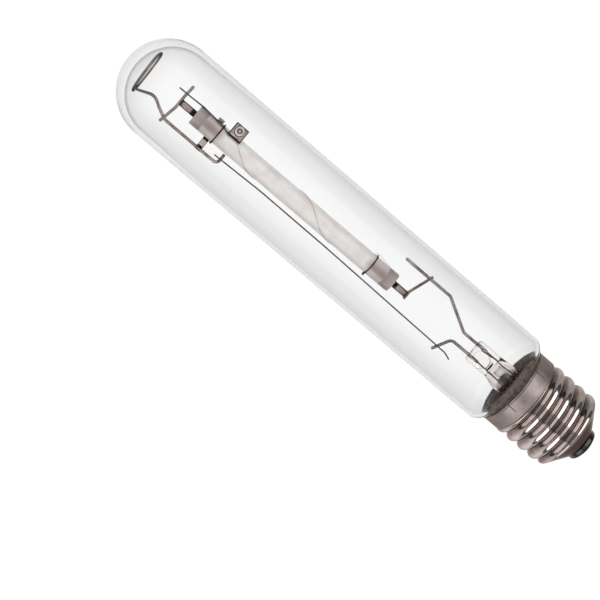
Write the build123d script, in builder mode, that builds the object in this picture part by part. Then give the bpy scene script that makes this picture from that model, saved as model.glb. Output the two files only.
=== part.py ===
from build123d import *

import math
import os

# Tubular high pressure sodium lamp with a 40 mm Edison screw cap, lying on its side.
# The origin is the centre contact's face, +X runs along the lamp to its domed end and +Z is up.
# The wire frame inside is nearly flat and lies in the XY plane. All sizes are in millimetres.

# Outer bulb
overall_length = 268.7
bulb_radius = 23.0
bulb_wall = 1.5
dome_tip_wall = 3.4
neck_radius = 16.4
neck_end_x = 30.0
shoulder_start_x = 49.2
shoulder_slope = 50.0
shoulder_bend = 5.0
neck_bend = 2.0

# Screw shell, with the standard 40 mm Edison thread
cap_length = 45.5
shell_wall = 0.35
skirt_radius = 19.25
skirt_length = 8.2
skirt_step = 1.2
thread_pitch = 6.35
thread_crest_radius = 19.65
thread_root_radius = 17.95
thread_round = 1.85
thread_turns = 5.25
root_land = 0.5
ridge_sink = 0.6
crest_phase_x = 7.2
cone_start_x = 3.8
cone_start_radius = 8.4
cone_slope = 52.5
slit_count = 6
slit_width = 0.4
slit_length = 5.2
slit_turn = 6.0
rim_lip = 0.2

# Insulator and centre contact
contact_proud = 0.9
contact_radius = 5.4
contact_thickness = 1.7
eyelet_radius = 1.5
insulator_depth = 9.0
insulator_round = 1.4

# Glass stem
glass_seal_lip = 1.15
stem_tube_radius = 6.75
stem_wall = 1.15
stem_tube_top_x = 51.5
press_start_x = 57.5
press_end_x = 69.5
press_width = 11.3
press_thickness = 5.2
press_off_axis = -0.7
press_dish_depth = 1.0
press_dish_length = 9.6
press_dish_width = 6.2
exhaust_radius = 2.5
exhaust_wall = 0.8
exhaust_tip_x = 17.0

# Leads
lead_radius = 0.63
seal_wire_radius = 0.35
lead_in_press = 5.5
long_lead_y = -3.8
long_lead_reach_y = -12.25
long_lead_end_x = 119.3
short_lead_y = 2.2
short_lead_end = (84.2, 11.0)
lead_bend = 3.0

# Arc tube and what seals it
light_centre = 174.05
arc_tube_length = 114.3
arc_tube_radius = 4.65
arc_tube_wall = 0.75
plug_length = 4.0
plug_recess = 0.9
niobium_radius = 1.55
niobium_wall = 0.25
niobium_reach = 7.8
niobium_inside = 0.5
electrode_radius = 0.6
electrode_length = 9.6
coil_wire_radius = 0.28
coil_turns = 7
seal_ring_height = 0.6

# Frame wires and strip
frame_wire_radius = 0.6
crossbar_radius = 0.575
link_radius = 0.575
return_wire_radius = 0.275
side_wire_radius = 0.3
ignition_wire_radius = 0.125
ignition_pitch = 44.0
clip_wire_radius = 0.33
fit_gap = 0.02
ring_setback = 10.3
ring_radius = 9.9
ring_centre_y = -0.9
ring_tilt = 3.5
ring_start_turn = -17.0
ring_opening = 24.0
ring_bend = 1.2
support_y = 10.3
hook_end_y = 5.0
hook_setback = 20.9
dome_clip_setback = 12.9
cap_clip_setback = 12.8
clip_tail = 0.9
strap_setback = 10.3
strap_width = 2.9
strap_thickness = 0.3
getter_setback = 19.2
getter_width = 6.8
getter_top_y = -9.4
getter_thickness = 0.3
hem_return = 1.5
pill_radius = 2.5
pill_height = 0.7

# Places that follow from the sizes above
arc_dome_x = light_centre + arc_tube_length / 2
arc_cap_x = light_centre - arc_tube_length / 2
arc_bore = arc_tube_radius - arc_tube_wall
crossbar_x = arc_dome_x + niobium_reach + crossbar_radius
link_x = arc_cap_x - niobium_reach - link_radius
support_z = -(frame_wire_radius + crossbar_radius)
skirt_start_x = cap_length - skirt_length
shell_bore = skirt_radius - shell_wall
dome_centre_x = overall_length - bulb_radius
contact_seat_x = contact_thickness
lead_inner_x = press_end_x - lead_in_press


def inset(corners, amount):
    # Moves a line of corners sideways to its right, keeping each run the same distance from its old place
    moved = []
    runs = [math.atan2(b[1] - a[1], b[0] - a[0]) for a, b in zip(corners, corners[1:])]
    before = [runs[0]] + runs
    after = runs + [runs[-1]]
    for (x, r), a, b in zip(corners, before, after):
        share = amount / (1 + math.cos(a - b))
        moved.append((x + share * (math.sin(a) + math.sin(b)), r - share * (math.cos(a) + math.cos(b))))
    return moved


def bent_wire(points, bends, radius):
    # A round wire along straight runs and rounded corners
    with BuildPart() as wire:
        with BuildLine() as route:
            FilletPolyline(*points, radius=bends)
        with BuildSketch(Plane(origin=route.line @ 0, z_dir=route.line % 0)):
            Circle(radius)
        sweep(path=route.line)
    return wire


def keep(piece, label):
    piece.part.label = label
    export_step(piece.part, f"parts/{label}.step")


# The bulb's outer line runs from the neck's end to the dome
neck_foot_x = shoulder_start_x - (bulb_radius - neck_radius) / math.tan(math.radians(shoulder_slope))
bulb_corners = [
    (neck_end_x, neck_radius),
    (neck_foot_x, neck_radius),
    (shoulder_start_x, bulb_radius),
    (dome_centre_x, bulb_radius),
]
bore_corners = inset(bulb_corners, bulb_wall)
bore_radius = bulb_radius - bulb_wall
bore_tip_x = overall_length - dome_tip_wall
bore_corners[-1] = (bore_tip_x - bore_radius, bore_radius)

with BuildPart() as outer_bulb:
    with BuildSketch():
        with BuildLine():
            outside = FilletPolyline(*bulb_corners, radius=[neck_bend, shoulder_bend])
            RadiusArc(outside @ 1, (overall_length, 0), bulb_radius)
            inside = FilletPolyline(*bore_corners, radius=[neck_bend + bulb_wall, shoulder_bend - bulb_wall])
            RadiusArc(inside @ 1, (bore_tip_x, 0), bore_radius)
            Line((bore_tip_x, 0), (overall_length, 0))
            Line(outside @ 0, inside @ 0)
        make_face()
    revolve(axis=Axis.X)

# Screw shell: a thin rolled wall, so its bore is its outer form moved in by the wall
root_meets_cone_x = cone_start_x + (thread_root_radius - cone_start_radius) / math.tan(math.radians(cone_slope))
shell_corners = [
    (cone_start_x, cone_start_radius),
    (root_meets_cone_x, thread_root_radius),
    (skirt_start_x - skirt_step, thread_root_radius),
    (skirt_start_x, skirt_radius),
    (cap_length, skirt_radius),
]
# The thread runs out against the cone at one end and against the skirt at the other, inside this envelope
fade_corners = [
    (root_meets_cone_x - 1.0, thread_root_radius - 1.55),
    (root_meets_cone_x + 2.3, bulb_radius - 2.0),
    (skirt_start_x - 1.0, bulb_radius - 2.0),
    (skirt_start_x + 1.2, thread_root_radius - 1.55),
]


def thread_ridge(moved_in):
    # The helical ridge that the rolled thread adds to the root, moved in by one distance.
    # The crest and root are arcs of the same radius that meet tangentially halfway up the flank.
    crest = thread_crest_radius - moved_in
    root = thread_root_radius - moved_in
    crest_round = thread_round - moved_in
    root_round = thread_round + moved_in
    lean = math.asin(thread_pitch / 2 / (crest_round + root_round))
    flank = (crest_round * math.sin(lean), crest - crest_round + crest_round * math.cos(lean))
    foot = thread_pitch / 2 - root_land
    foot_radius = root + root_round - math.sqrt(root_round**2 - root_land**2)
    base = root - ridge_sink
    height = thread_pitch * thread_turns
    turns = Rot(X=90) * Helix(thread_pitch, height, crest, center=(crest_phase_x, 0, 0), direction=(1, 0, 0))
    with BuildPart() as ridge:
        with BuildSketch(Plane(origin=(crest_phase_x, 0, 0), x_dir=(1, 0, 0), z_dir=(0, 0, -1))):
            with BuildLine():
                top = ThreePointArc((-flank[0], flank[1]), (0, crest), flank)
                right = RadiusArc(flank, (foot, foot_radius), -root_round)
                left = RadiusArc(top @ 0, (-foot, foot_radius), root_round)
                Polyline(right @ 1, (foot, base), (-foot, base), left @ 1)
            make_face()
        sweep(path=turns, is_frenet=True)
    with BuildPart() as envelope:
        with BuildSketch():
            with BuildLine():
                edge = Polyline(*inset(fade_corners, moved_in))
                Polyline(edge @ 1, ((edge @ 1).X, 0), ((edge @ 0).X, 0), edge @ 0)
            make_face()
        revolve(axis=Axis.X)
    return ridge.part & envelope.part


def shell_turning(moved_in):
    # The cap's turned form without its thread, all moved in by one distance
    with BuildPart() as form:
        with BuildSketch():
            with BuildLine():
                edge = Polyline(*inset(shell_corners, moved_in))
                Polyline(edge @ 1, ((edge @ 1).X, 0), ((edge @ 0).X, 0), edge @ 0)
            make_face()
        revolve(axis=Axis.X)
    return form.part


with BuildPart() as screw_shell:
    add(shell_turning(0))
    add(thread_ridge(0))
    with BuildSketch():
        with BuildLine():
            Polyline(
                (cap_length, shell_bore),
                (cap_length, skirt_radius + rim_lip),
                (cap_length - 2 * rim_lip, skirt_radius + rim_lip),
                (cap_length - 4 * rim_lip, skirt_radius),
                (cap_length - 4 * rim_lip, shell_bore),
                close=True,
            )
        make_face()
    revolve(axis=Axis.X)
    add(shell_turning(shell_wall), mode=Mode.SUBTRACT)
    add(thread_ridge(shell_wall), mode=Mode.SUBTRACT)
    with Locations(Plane.YZ):
        Cylinder(
            cone_start_radius - shell_wall,
            cap_length,
            align=(Align.CENTER, Align.CENTER, Align.MIN),
            mode=Mode.SUBTRACT,
        )
    for number in range(slit_count):
        turn = slit_turn + number * 360 / slit_count
        with Locations(Rot(X=turn) * Pos(cap_length, skirt_radius, 0)):
            Box(2 * slit_length, 4 * rim_lip + 2 * shell_wall, slit_width, mode=Mode.SUBTRACT)

# Black glass fills the shell's cone and stands out of its end
cone_line = inset(shell_corners[:2], shell_wall)
cone_inner_slope = (cone_line[1][1] - cone_line[0][1]) / (cone_line[1][0] - cone_line[0][0])
insulator_radius = cone_start_radius - shell_wall
insulator_top_radius = cone_line[0][1] + (insulator_depth - cone_line[0][0]) * cone_inner_slope
with BuildPart() as cap_insulator:
    with BuildSketch():
        with BuildLine():
            Polyline(
                (contact_proud, 0),
                (contact_proud, insulator_radius - insulator_round),
            )
            RadiusArc(
                (contact_proud, insulator_radius - insulator_round),
                (contact_proud + insulator_round, insulator_radius),
                insulator_round,
            )
            Polyline(
                (contact_proud + insulator_round, insulator_radius),
                (cone_line[0][0], insulator_radius),
                cone_line[0],
                (insulator_depth, insulator_top_radius),
                (insulator_depth, 0),
                (contact_proud, 0),
            )
        make_face()
    revolve(axis=Axis.X)
    with Locations(Plane.YZ):
        Cylinder(
            contact_radius,
            contact_seat_x,
            align=(Align.CENTER, Align.CENTER, Align.MIN),
            mode=Mode.SUBTRACT,
        )
        Cylinder(
            seal_wire_radius,
            insulator_depth,
            align=(Align.CENTER, Align.CENTER, Align.MIN),
            mode=Mode.SUBTRACT,
        )

with BuildPart() as centre_contact:
    with BuildSketch(Plane.YZ):
        Circle(contact_radius)
        Circle(eyelet_radius, mode=Mode.SUBTRACT)
    extrude(amount=contact_thickness)
    rim = centre_contact.edges().filter_by(GeomType.CIRCLE).group_by(Axis.X)[0].sort_by(SortBy.RADIUS)[-1]
    fillet(rim, contact_proud / 2)

# Leads: thick wires above the press, thin seal wires through it and on into the cap
long_lead = bent_wire(
    [
        (lead_inner_x, long_lead_y, 0),
        (77.6, long_lead_y, 0),
        (93.0, long_lead_reach_y, 0),
        (long_lead_end_x, long_lead_reach_y, 0),
    ],
    lead_bend,
    lead_radius,
)
short_lead = bent_wire(
    [(lead_inner_x, short_lead_y, 0), (79.7, short_lead_y, 0), (*short_lead_end, 0)],
    lead_bend,
    lead_radius,
)
solder_depth = 0.6
centre_lead = bent_wire(
    [
        (lead_inner_x, long_lead_y, 0),
        (stem_tube_top_x, long_lead_y, 0),
        (exhaust_tip_x, long_lead_y - seal_wire_radius, 0),
        (insulator_depth + 1.0, 0, 0),
        (solder_depth, 0, 0),
    ],
    [8.0, 2.0, 1.0],
    seal_wire_radius,
)
# The shell's wire turns back outside the neck and lies against the skirt, where it is spot welded
neck_gap_r = (neck_radius + thread_root_radius - shell_wall) / 2
skirt_wire_r = shell_bore - seal_wire_radius
shell_lead = bent_wire(
    [
        (lead_inner_x, short_lead_y, 0),
        (stem_tube_top_x, short_lead_y + 0.5, 0),
        (neck_end_x - 4.0, short_lead_y, -1.0),
        (neck_end_x - 5.5, 0.6, -neck_gap_r + 3.0),
        (neck_end_x - 2.5, 0, -neck_gap_r),
        (skirt_start_x - 0.5, 0, -neck_gap_r),
        (skirt_start_x + 1.0, 0, -skirt_wire_r),
        (cap_length - 2.0, 0, -skirt_wire_r),
    ],
    [4.0, 2.0, 1.2, 1.2, 1.0, 1.0],
    seal_wire_radius,
)

with BuildPart() as contact_solder:
    with BuildSketch(Plane.YZ):
        Circle(eyelet_radius)
    extrude(amount=contact_thickness)
    add(centre_lead.part, mode=Mode.SUBTRACT)

# Stem: a flare sealed to the neck's end, a tube, and the flat press that grips the leads
flare_round = neck_radius - bulb_wall - stem_tube_radius
flare_x = neck_end_x + flare_round
lip_radius = neck_radius - bulb_wall
with BuildPart() as glass_stem:
    with BuildSketch():
        with BuildLine():
            Polyline((flare_x, stem_tube_radius), (stem_tube_top_x, stem_tube_radius))
            RadiusArc((flare_x, stem_tube_radius), (neck_end_x, lip_radius), flare_round)
            Polyline(
                (neck_end_x, lip_radius),
                (neck_end_x, neck_radius),
                (neck_end_x - glass_seal_lip, neck_radius),
                (neck_end_x - glass_seal_lip, lip_radius),
            )
            RadiusArc(
                (flare_x, stem_tube_radius - stem_wall),
                (neck_end_x - glass_seal_lip, lip_radius),
                flare_round + glass_seal_lip,
            )
            Polyline(
                (flare_x, stem_tube_radius - stem_wall),
                (stem_tube_top_x, stem_tube_radius - stem_wall),
                (stem_tube_top_x, stem_tube_radius),
            )
        make_face()
    revolve(axis=Axis.X)
    with BuildSketch(Plane.YZ.offset(stem_tube_top_x)):
        Circle(stem_tube_radius)
    with BuildSketch(Plane.YZ.offset(press_start_x)):
        with Locations((press_off_axis, 0)):
            RectangleRounded(press_width, press_thickness, 0.46 * press_thickness)
    loft()
    with BuildSketch(Plane.YZ.offset(press_start_x)):
        with Locations((press_off_axis, 0)):
            RectangleRounded(press_width, press_thickness, 0.46 * press_thickness)
    extrude(amount=press_end_x - press_start_x)
    fillet(glass_stem.faces().sort_by(Axis.X)[-1].edges(), 0.3 * press_thickness)
    press_middle_x = (press_start_x + press_end_x) / 2
    for side in (-1, 1):
        dish_floor = Plane(
            origin=(press_middle_x, press_off_axis, side * (press_thickness / 2 - press_dish_depth)),
            z_dir=(0, 0, side),
        )
        with BuildSketch(dish_floor):
            Ellipse(press_dish_length / 2, press_dish_width / 2)
        extrude(amount=2 * press_dish_depth, taper=-35, mode=Mode.SUBTRACT)
    with BuildSketch():
        with BuildLine():
            Polyline(
                (stem_tube_top_x, 0),
                (stem_tube_top_x, stem_tube_radius - stem_wall),
                (stem_tube_top_x + 3.5, exhaust_radius + 1.1),
                (stem_tube_top_x + 3.5, 0),
                close=True,
            )
        make_face()
    revolve(axis=Axis.X, mode=Mode.SUBTRACT)
    for lead in (long_lead, short_lead, centre_lead, shell_lead):
        add(lead.part, mode=Mode.SUBTRACT)

exhaust_y = (long_lead_y + short_lead_y) / 2
exhaust_top_x = stem_tube_top_x + 3.5
with BuildPart() as exhaust_tube:
    with BuildSketch():
        with BuildLine():
            Line((exhaust_tip_x + exhaust_radius, exhaust_radius), (exhaust_top_x, exhaust_radius))
            Line((exhaust_top_x, exhaust_radius), (exhaust_top_x, exhaust_radius - exhaust_wall))
            Line(
                (exhaust_top_x, exhaust_radius - exhaust_wall),
                (exhaust_tip_x + exhaust_radius, exhaust_radius - exhaust_wall),
            )
            RadiusArc(
                (exhaust_tip_x + exhaust_radius, exhaust_radius - exhaust_wall),
                (exhaust_tip_x + exhaust_wall, 0),
                -(exhaust_radius - exhaust_wall),
            )
            Line((exhaust_tip_x + exhaust_wall, 0), (exhaust_tip_x, 0))
            RadiusArc(
                (exhaust_tip_x, 0),
                (exhaust_tip_x + exhaust_radius, exhaust_radius),
                exhaust_radius,
            )
        make_face()
    revolve(axis=Axis.X)
exhaust_tube.part.location = Location((0, exhaust_y, 0))

with BuildPart() as capping_cement:
    with BuildSketch(Plane.YZ.offset(skirt_start_x + 0.2)):
        Circle(shell_bore)
        Circle(neck_radius, mode=Mode.SUBTRACT)
    extrude(amount=skirt_length - 1.4)
    add(outer_bulb.part, mode=Mode.SUBTRACT)
    add(shell_lead.part, mode=Mode.SUBTRACT)

# Arc tube and its two sealed ends; x runs inwards from each end by the same steps
with BuildPart() as arc_tube:
    with BuildSketch(Plane.YZ.offset(arc_cap_x)):
        Circle(arc_tube_radius)
        Circle(arc_bore, mode=Mode.SUBTRACT)
    extrude(amount=arc_tube_length)
    fillet(arc_tube.edges().filter_by(GeomType.CIRCLE), 0.2)


def turned(section):
    # A turned piece from the corners of its half section
    with BuildPart() as piece:
        with BuildSketch():
            with BuildLine():
                Polyline(*section, close=True)
            make_face()
        revolve(axis=Axis.X)
    return piece


def end_fittings(end_x, inwards):
    # The plug, feed-through tube, sealing glass and electrode at one end of the arc tube
    def at(depth):
        return end_x + inwards * depth

    plug_in = plug_recess + plug_length
    niobium_in = plug_in + niobium_inside
    niobium_bore = niobium_radius - niobium_wall
    plug = turned(
        [
            (at(plug_recess), niobium_radius),
            (at(plug_recess), arc_bore),
            (at(plug_in), arc_bore),
            (at(plug_in), niobium_radius),
        ]
    )
    niobium = turned(
        [
            (at(-niobium_reach), niobium_bore),
            (at(-niobium_reach), niobium_radius),
            (at(niobium_in), niobium_radius),
            (at(niobium_in), niobium_bore),
        ]
    )
    seal = turned(
        [
            (at(plug_recess), niobium_radius),
            (at(plug_recess), niobium_radius + 1.4 * seal_ring_height),
            (at(plug_recess - seal_ring_height), niobium_radius),
        ]
    )
    with BuildPart() as electrode:
        with BuildSketch():
            with BuildLine():
                Polyline(
                    (at(plug_in - 1.5), 0),
                    (at(plug_in - 1.5), niobium_bore),
                    (at(niobium_in), niobium_bore),
                    (at(niobium_in), electrode_radius),
                    (at(plug_in + electrode_length), electrode_radius),
                    (at(plug_in + electrode_length), 0),
                    close=True,
                )
            make_face()
        revolve(axis=Axis.X)
        for number in range(coil_turns):
            coil_x = at(plug_in + electrode_length - 1.5 - 2 * number * coil_wire_radius * 0.95)
            with BuildSketch():
                with Locations((coil_x, electrode_radius + 0.7 * coil_wire_radius)):
                    Circle(coil_wire_radius)
            revolve(axis=Axis.X)
    return plug, niobium, seal, electrode


end_plug_dome, niobium_tube_dome, seal_ring_dome, electrode_dome = end_fittings(arc_dome_x, -1)
end_plug_cap, niobium_tube_cap, seal_ring_cap, electrode_cap = end_fittings(arc_cap_x, 1)

# Frame at the domed end
crossbar = bent_wire(
    [
        (crossbar_x - 0.3, -8.9, 0),
        (crossbar_x, -3.2, 0),
        (crossbar_x, 3.2, 0),
        (crossbar_x + 1.55, 12.3, 0),
    ],
    5.0,
    crossbar_radius,
)

# The support wire runs from its hook along the arc tube, dips under the crossbar and ends in a centring ring
hook_x = arc_dome_x - hook_setback
ring_x = overall_length - ring_setback
tilt = math.radians(ring_tilt)
ring_plane = Plane(
    origin=(ring_x, ring_centre_y, 0),
    x_dir=(-math.sin(tilt), math.cos(tilt), 0),
    z_dir=(math.cos(tilt), math.sin(tilt), 0),
)
ring_start = math.radians(ring_start_turn)
ring_run = Vector(math.sin(ring_start), -math.cos(ring_start))
ring_first = Vector(math.cos(ring_start), math.sin(ring_start)) * ring_radius
ring_corner = ring_first - ring_run * 1.5 * ring_bend
ring_loop = ring_plane.location * CenterArc((0, 0), ring_radius, ring_start_turn, ring_opening - 360)
with BuildPart() as support_wire:
    with BuildLine() as support_route:
        straight = FilletPolyline(
            (hook_x, hook_end_y, support_z),
            (hook_x, support_y, support_z),
            (crossbar_x + 0.3, support_y, support_z),
            (crossbar_x + 10.8, 5.1, support_z),
            ring_plane.from_local_coords(ring_corner),
            ring_plane.from_local_coords(ring_first),
            radius=[2.0, 6.0, 5.0, ring_bend],
        )
        add(ring_loop)
    with BuildSketch(Plane(origin=straight @ 0, z_dir=straight % 0)):
        Circle(frame_wire_radius)
    sweep(path=support_route.line)

# Strap from the cap's end of the arc tube to the long lead, crossing it on the +Z side
link_reach = 11.9
link_rise = (lead_radius + link_radius + fit_gap) * link_reach / (-1.9 - long_lead_reach_y)
lead_link = bent_wire(
    [(link_x, 2.2, 0), (link_x, -1.9, 0), (link_x - 3.6, -1.9 - link_reach, link_rise)],
    2.0,
    link_radius,
)

# Return wire: over the hook at one end, over the short lead at the other
return_hook_z = support_z + frame_wire_radius + return_wire_radius
return_lead_z = lead_radius + return_wire_radius
return_lead_x = short_lead_end[0] - 1.6


def return_point(x, y):
    share = (hook_x - x) / (hook_x - return_lead_x)
    return (x, y, return_hook_z + (return_lead_z - return_hook_z) * share + fit_gap)


return_wire = bent_wire(
    [
        (hook_x + 3.5, 7.9, return_hook_z + fit_gap),
        return_point(188.0, 7.05),
        return_point(150.0, 7.2),
        return_point(return_lead_x, 8.45),
        (return_lead_x - 4.3, 8.55, return_lead_z + fit_gap),
        (return_lead_x - 7.6, 9.7, return_lead_z + fit_gap),
    ],
    [20.0, 20.0, 8.0, 3.0],
    return_wire_radius,
)

# Fine rings round the arc tube, each with its two ends twisted out side by side
clip_radius = arc_tube_radius + clip_wire_radius + fit_gap


def ring_clip(clip_x, lean):
    with BuildPart() as clip:
        with BuildSketch():
            with Locations((clip_x, clip_radius)):
                Circle(clip_wire_radius)
        revolve(axis=Axis.X)
        with BuildSketch(Plane(origin=(clip_x, clip_radius, 0), z_dir=(lean, 1, 0))):
            with GridLocations(0, 1.6 * clip_wire_radius, 1, 2):
                Circle(clip_wire_radius)
        extrude(amount=clip_tail)
    return clip


dome_clip_x = arc_dome_x - dome_clip_setback
cap_clip_x = arc_cap_x + cap_clip_setback
ring_clip_dome = ring_clip(dome_clip_x, 0.5)
ring_clip_cap = ring_clip(cap_clip_x, 0)

# Side wire from the crossbar over the first ring to the getter, which is hemmed over its end
getter_x = arc_dome_x - getter_setback
side_cross_z = crossbar_radius + side_wire_radius + fit_gap
hem_y, hem_z = -3.2, 4.55
side_wire = bent_wire(
    [
        (crossbar_x + 4.0, -4.5, side_cross_z),
        (crossbar_x + 0.4, -4.5, side_cross_z),
        (arc_dome_x - 1.3, -4.8, 1.9),
        (dome_clip_x, -3.95, 4.14),
        (getter_x + getter_width / 2 + 0.8, hem_y, hem_z),
        (getter_x - getter_width / 2, hem_y, hem_z),
    ],
    [3.0, 3.0, 2.0, 1.5],
    side_wire_radius,
)

hem_round = side_wire_radius + getter_thickness / 2
with BuildPart() as getter_plate:
    with BuildSketch(Plane.YZ.offset(getter_x - getter_width / 2)):
        with BuildLine():
            Line((getter_top_y, hem_z + hem_round), (hem_y, hem_z + hem_round))
            ThreePointArc(
                (hem_y, hem_z + hem_round),
                (hem_y + hem_round, hem_z),
                (hem_y, hem_z - hem_round),
            )
            Line((hem_y, hem_z - hem_round), (hem_y - hem_return, hem_z - hem_round))
        trace(line_width=getter_thickness)
    extrude(amount=getter_width)

pill_seat_z = hem_z + hem_round + getter_thickness / 2
pill_y = (getter_top_y + hem_y) / 2 - 0.6
with BuildPart() as getter_pill:
    with BuildSketch(Plane(origin=(getter_x, pill_y, pill_seat_z))):
        Circle(pill_radius)
    extrude(amount=pill_height / 2)
    with BuildSketch(Plane(origin=(getter_x, pill_y, pill_seat_z))):
        Circle(0.84 * pill_radius)
        Circle(0.52 * pill_radius, mode=Mode.SUBTRACT)
        Circle(0.16 * pill_radius)
    extrude(amount=pill_height)

# Strap: round the back of the support wire, flat towards the arc tube, round the tube's back and out as a tab
strap_x = arc_dome_x - strap_setback
strap_round = frame_wire_radius + strap_thickness / 2 + fit_gap
saddle_radius = arc_tube_radius + strap_thickness / 2 + fit_gap
strap_flat_z = -0.38


def on_circle(centre_y, centre_z, radius, turn):
    angle = math.radians(turn)
    return (centre_y + radius * math.cos(angle), centre_z + radius * math.sin(angle))


wire_arc = [on_circle(support_y, support_z, strap_round, turn) for turn in (10, -90, -135)]
saddle_arc = [on_circle(0, 0, saddle_radius, turn) for turn in (-20, -100, -180)]
rise_one = strap_flat_z - wire_arc[2][1]
rise_two = strap_flat_z - saddle_arc[0][1]
tab_end = (-4.74, 3.41)
with BuildPart() as tube_strap:
    with BuildSketch(Plane.YZ.offset(strap_x - strap_width / 2)):
        with BuildLine():
            ThreePointArc(*wire_arc)
            FilletPolyline(
                wire_arc[2],
                (wire_arc[2][0] - rise_one, strap_flat_z),
                (saddle_arc[0][0] + rise_two * math.tan(math.radians(20)), strap_flat_z),
                saddle_arc[0],
                radius=0.5,
            )
            ThreePointArc(*saddle_arc)
            FilletPolyline(saddle_arc[2], (-saddle_radius, 0.6), (-6.1, 1.8), tab_end, radius=0.35)
        trace(line_width=strap_thickness)
    extrude(amount=strap_width)

# Starting aid: a hair-thin right-hand spiral over the arc tube whose loose end hops over the second ring
spiral_radius = arc_tube_radius + ignition_wire_radius + fit_gap
spiral_end_x = getter_x - 1.5
spiral_start_x = cap_clip_x + 1.2
spiral_end_turn = 124.5
spiral_length = spiral_end_x - spiral_start_x
spiral_start_turn = spiral_end_turn - 360 * spiral_length / ignition_pitch
spiral = Rot(X=spiral_start_turn - 90) * Helix(
    ignition_pitch, spiral_length, spiral_radius, center=(spiral_start_x, 0, 0), direction=(1, 0, 0)
)
hop_radius = clip_radius + clip_wire_radius + ignition_wire_radius + fit_gap
with BuildPart() as ignition_wire:
    with BuildSketch(Plane(origin=spiral @ 0, z_dir=spiral % 0)):
        Circle(ignition_wire_radius)
    sweep(path=spiral, is_frenet=True)
    with BuildLine() as loose_end:
        FilletPolyline(
            spiral @ 0.01,
            (cap_clip_x + 0.75, -hop_radius, -0.3),
            (cap_clip_x - 0.6, -hop_radius, 0.1),
            (cap_clip_x - 3.0, -5.3, 0.6),
            (cap_clip_x - 7.0, -4.85, 1.2),
            radius=0.25,
        )
    with BuildSketch(Plane(origin=loose_end.line @ 0, z_dir=loose_end.line % 0)):
        Circle(ignition_wire_radius)
    sweep(path=loose_end.line)

os.makedirs("parts", exist_ok=True)
keep(outer_bulb, "outer_bulb")
keep(glass_stem, "glass_stem")
keep(exhaust_tube, "exhaust_tube")
keep(long_lead, "long_lead")
keep(short_lead, "short_lead")
keep(centre_lead, "centre_lead")
keep(shell_lead, "shell_lead")
keep(lead_link, "lead_link")
keep(return_wire, "return_wire")
keep(support_wire, "support_wire")
keep(crossbar, "crossbar")
keep(tube_strap, "tube_strap")
keep(side_wire, "side_wire")
keep(getter_plate, "getter_plate")
keep(getter_pill, "getter_pill")
keep(ignition_wire, "ignition_wire")
keep(ring_clip_dome, "ring_clip_dome")
keep(ring_clip_cap, "ring_clip_cap")
keep(arc_tube, "arc_tube")
keep(end_plug_dome, "end_plug_dome")
keep(end_plug_cap, "end_plug_cap")
keep(seal_ring_dome, "seal_ring_dome")
keep(seal_ring_cap, "seal_ring_cap")
keep(niobium_tube_dome, "niobium_tube_dome")
keep(niobium_tube_cap, "niobium_tube_cap")
keep(electrode_dome, "electrode_dome")
keep(electrode_cap, "electrode_cap")
keep(screw_shell, "screw_shell")
keep(capping_cement, "capping_cement")
keep(cap_insulator, "cap_insulator")
keep(centre_contact, "centre_contact")
keep(contact_solder, "contact_solder")
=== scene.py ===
import math

import bmesh
import bpy
import numpy as np
from mathutils import Matrix


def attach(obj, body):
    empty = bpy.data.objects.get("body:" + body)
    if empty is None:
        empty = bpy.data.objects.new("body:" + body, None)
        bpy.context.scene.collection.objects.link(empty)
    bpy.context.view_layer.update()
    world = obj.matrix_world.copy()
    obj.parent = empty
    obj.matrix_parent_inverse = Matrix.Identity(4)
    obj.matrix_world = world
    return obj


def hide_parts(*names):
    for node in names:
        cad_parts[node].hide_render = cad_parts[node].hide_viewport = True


# A clear tubular sodium lamp on its side: the cap's contact is at the origin and the dome points along +X.
# Sizes below are in millimetres; makePiece turns them to metres.

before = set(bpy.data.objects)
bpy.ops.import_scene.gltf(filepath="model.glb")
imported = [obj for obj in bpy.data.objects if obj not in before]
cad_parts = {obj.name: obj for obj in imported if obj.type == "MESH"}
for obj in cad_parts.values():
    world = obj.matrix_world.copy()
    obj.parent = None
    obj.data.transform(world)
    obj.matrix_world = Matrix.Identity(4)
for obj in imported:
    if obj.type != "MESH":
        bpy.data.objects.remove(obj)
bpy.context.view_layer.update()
print("frame loaded:", len(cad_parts), "nodes")

# Colour and material helpers

timesColour = {"data_type": "RGBA", "blend_type": "MULTIPLY"}  # settings of a Mix; its colours are inputs 6 and 7


def linear(hexText):
    # Each sRGB channel c goes to c / 12.92 below 0.04045 and to ((c + 0.055) / 1.055) ^ 2.4 above it
    parts = [int(hexText[i : i + 2], 16) / 255 for i in (1, 3, 5)]
    return [c / 12.92 if c <= 0.04045 else ((c + 0.055) / 1.055) ** 2.4 for c in parts] + [1.0]


def add(tree, kind, settings=None, inputs=None, stops=()):
    # Adds one node: settings are its own choices, inputs are numbers or the sockets that feed it, and stops are a
    # colour ramp's positions and hex colours
    made = tree.nodes.new("ShaderNode" + kind)
    for key, value in (settings or {}).items():
        setattr(made, key, value)
    for key, value in (inputs or {}).items():
        if isinstance(value, bpy.types.NodeSocket):
            tree.links.new(value, made.inputs[key])
        else:
            made.inputs[key].default_value = value
    if stops:
        band = made.color_ramp.elements
        while len(band) < len(stops):
            band.new(0.5)
        for element, (position, hexText) in zip(band, stops):
            element.position, element.color = position, linear(hexText)
    return made


def span(low, high, start=0.0, end=1.0):
    # Inputs of a Map Range: low to high becomes start to end
    return {"From Min": low, "From Max": high, "To Min": start, "To Max": end}


def emptyTree(owner):
    # The node tree of a material or world, with nothing in it
    owner.use_nodes = True
    owner.node_tree.nodes.clear()
    return owner.node_tree


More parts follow.
